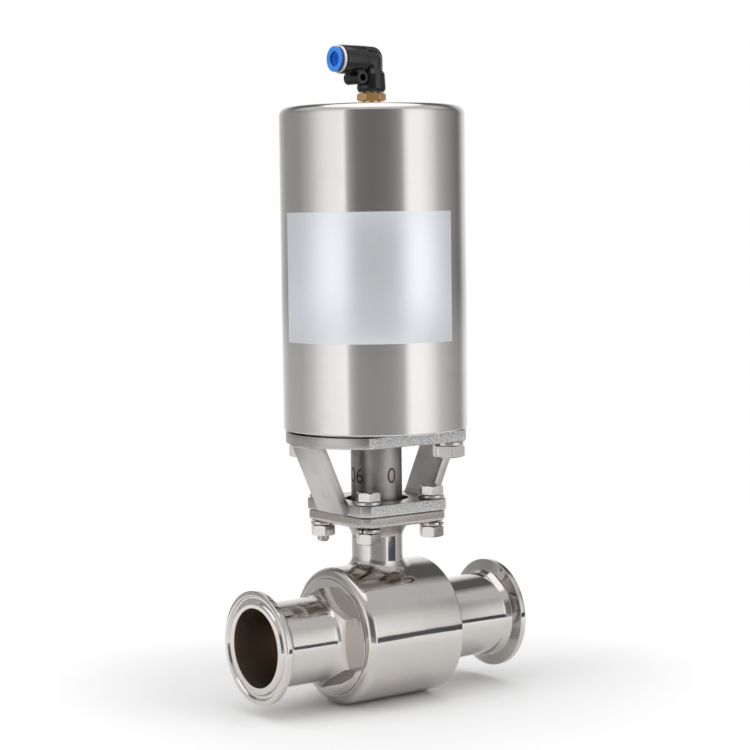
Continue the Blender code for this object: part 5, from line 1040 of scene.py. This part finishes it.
# %% White beyond the tent
world = bpy.data.worlds.new("studio")
bpy.context.scene.world = world
world.use_nodes = True
paths = world.node_tree.nodes.new("ShaderNodeLightPath").outputs
looks = Wire(world.node_tree, paths["Is Camera Ray"])
looks = looks.sum("MAXIMUM", looks, Wire(world.node_tree, paths["Is Glossy Ray"]))
looks = looks.sum("MAXIMUM", looks, Wire(world.node_tree, paths["Is Transmission Ray"]))
surface = world.node_tree.nodes["Background"]
world.node_tree.links.new(looks.blend(rgba(0.6, 0.6, 0.6), rgba(1.0, 1.0, 1.0)).socket, surface.inputs["Color"])
surface.inputs["Strength"].default_value = 1.0

# %% Floor, batten and lamps
bm = bmesh.new()
bmesh.ops.create_circle(bm, cap_ends=True, segments=128, radius=0.3,
                        matrix=Matrix.Translation((0.0, 0.0, cad_low.z - 0.0004)))
floor = into_scene("floor", finished_mesh("floor", bm))
shader, place = start_finish("pale_floor", (0.92, 0.92, 0.92), 0.85, 0.0, Emission_Strength=0.20)
# Painted light and shade on the floor: its glow is nothing near the valve and white further out.
painted_floor_glow = place.node("ShaderNodeVectorMath", {"operation": "LENGTH"}, {0: place}, "Value").ramp(0.09, 0.26)
drive(shader, Roughness=0.8 + place.noise(0.05, 2.0) * 0.15,
      Emission_Color=painted_floor_glow.blend(rgba(0.0, 0.0, 0.0), rgba(1.0, 1.0, 1.0)))
floor.data.materials.append(FINISHES["pale_floor"])
bm = bmesh.new()
corners = [(0.05, -0.0370), (0.31, -0.0370), (0.31, 0.0040), (0.05, 0.0040)]
bm.faces.new([bm.verts.new((x, -0.25, z)) for x, z in corners])
batten = into_scene("dark_batten", finished_mesh("dark_batten", bm))
start_finish("dark_batten", (0.10, 0.105, 0.125), 0.7, 0.0)
batten.data.materials.append(FINISHES["dark_batten"])
for unseen in ("visible_camera", "visible_diffuse", "visible_shadow"):
    setattr(batten, unseen, False)


def lamp(name, azimuth, elevation, distance, size, power):
    """A square soft lamp, aimed at the middle of the valve."""
    light = bpy.data.lights.new(name, "AREA")
    light.energy, light.size = power, size
    back = outwards(azimuth, elevation)
    holder = into_scene(name, light)
    holder.location = MIDDLE + back * distance
    holder.rotation_mode = "QUATERNION"
    holder.rotation_quaternion = (-back).to_track_quat("-Z", "Y")
    holder.visible_glossy = False


lamp("overhead", -36.0, 78.0, 1.5, 1.4, 3.0)
lamp("left_panel", -95.0, 30.0, 1.4, 0.9, 4.6)
lamp("right_panel", 20.0, 28.0, 1.4, 0.9, 4.6)

# %% Camera
lens = bpy.data.cameras.new("photo_camera")
lens.lens, lens.sensor_width = 99.70, 36.0
lens.clip_start, lens.clip_end = 0.01, 50.0
camera = into_scene("photo_camera", lens)
back, roll = outwards(CAMERA_AZIMUTH, 4.328), math.radians(-0.755)
right = (-back).cross(AXES["Z"]).normalized()
up = right.cross(-back)
turned_right = math.cos(roll) * right + math.sin(roll) * up
turned_up = -math.sin(roll) * right + math.cos(roll) * up
turn = Matrix((turned_right, turned_up, back)).transposed().to_4x4()
camera.matrix_world = Matrix.Translation((-0.556733, -0.758216, 0.187925)) @ turn
bpy.context.scene.camera = camera
bpy.context.scene.view_settings.view_transform = "Standard"
print("camera at", [round(value, 3) for value in camera.matrix_world.translation])
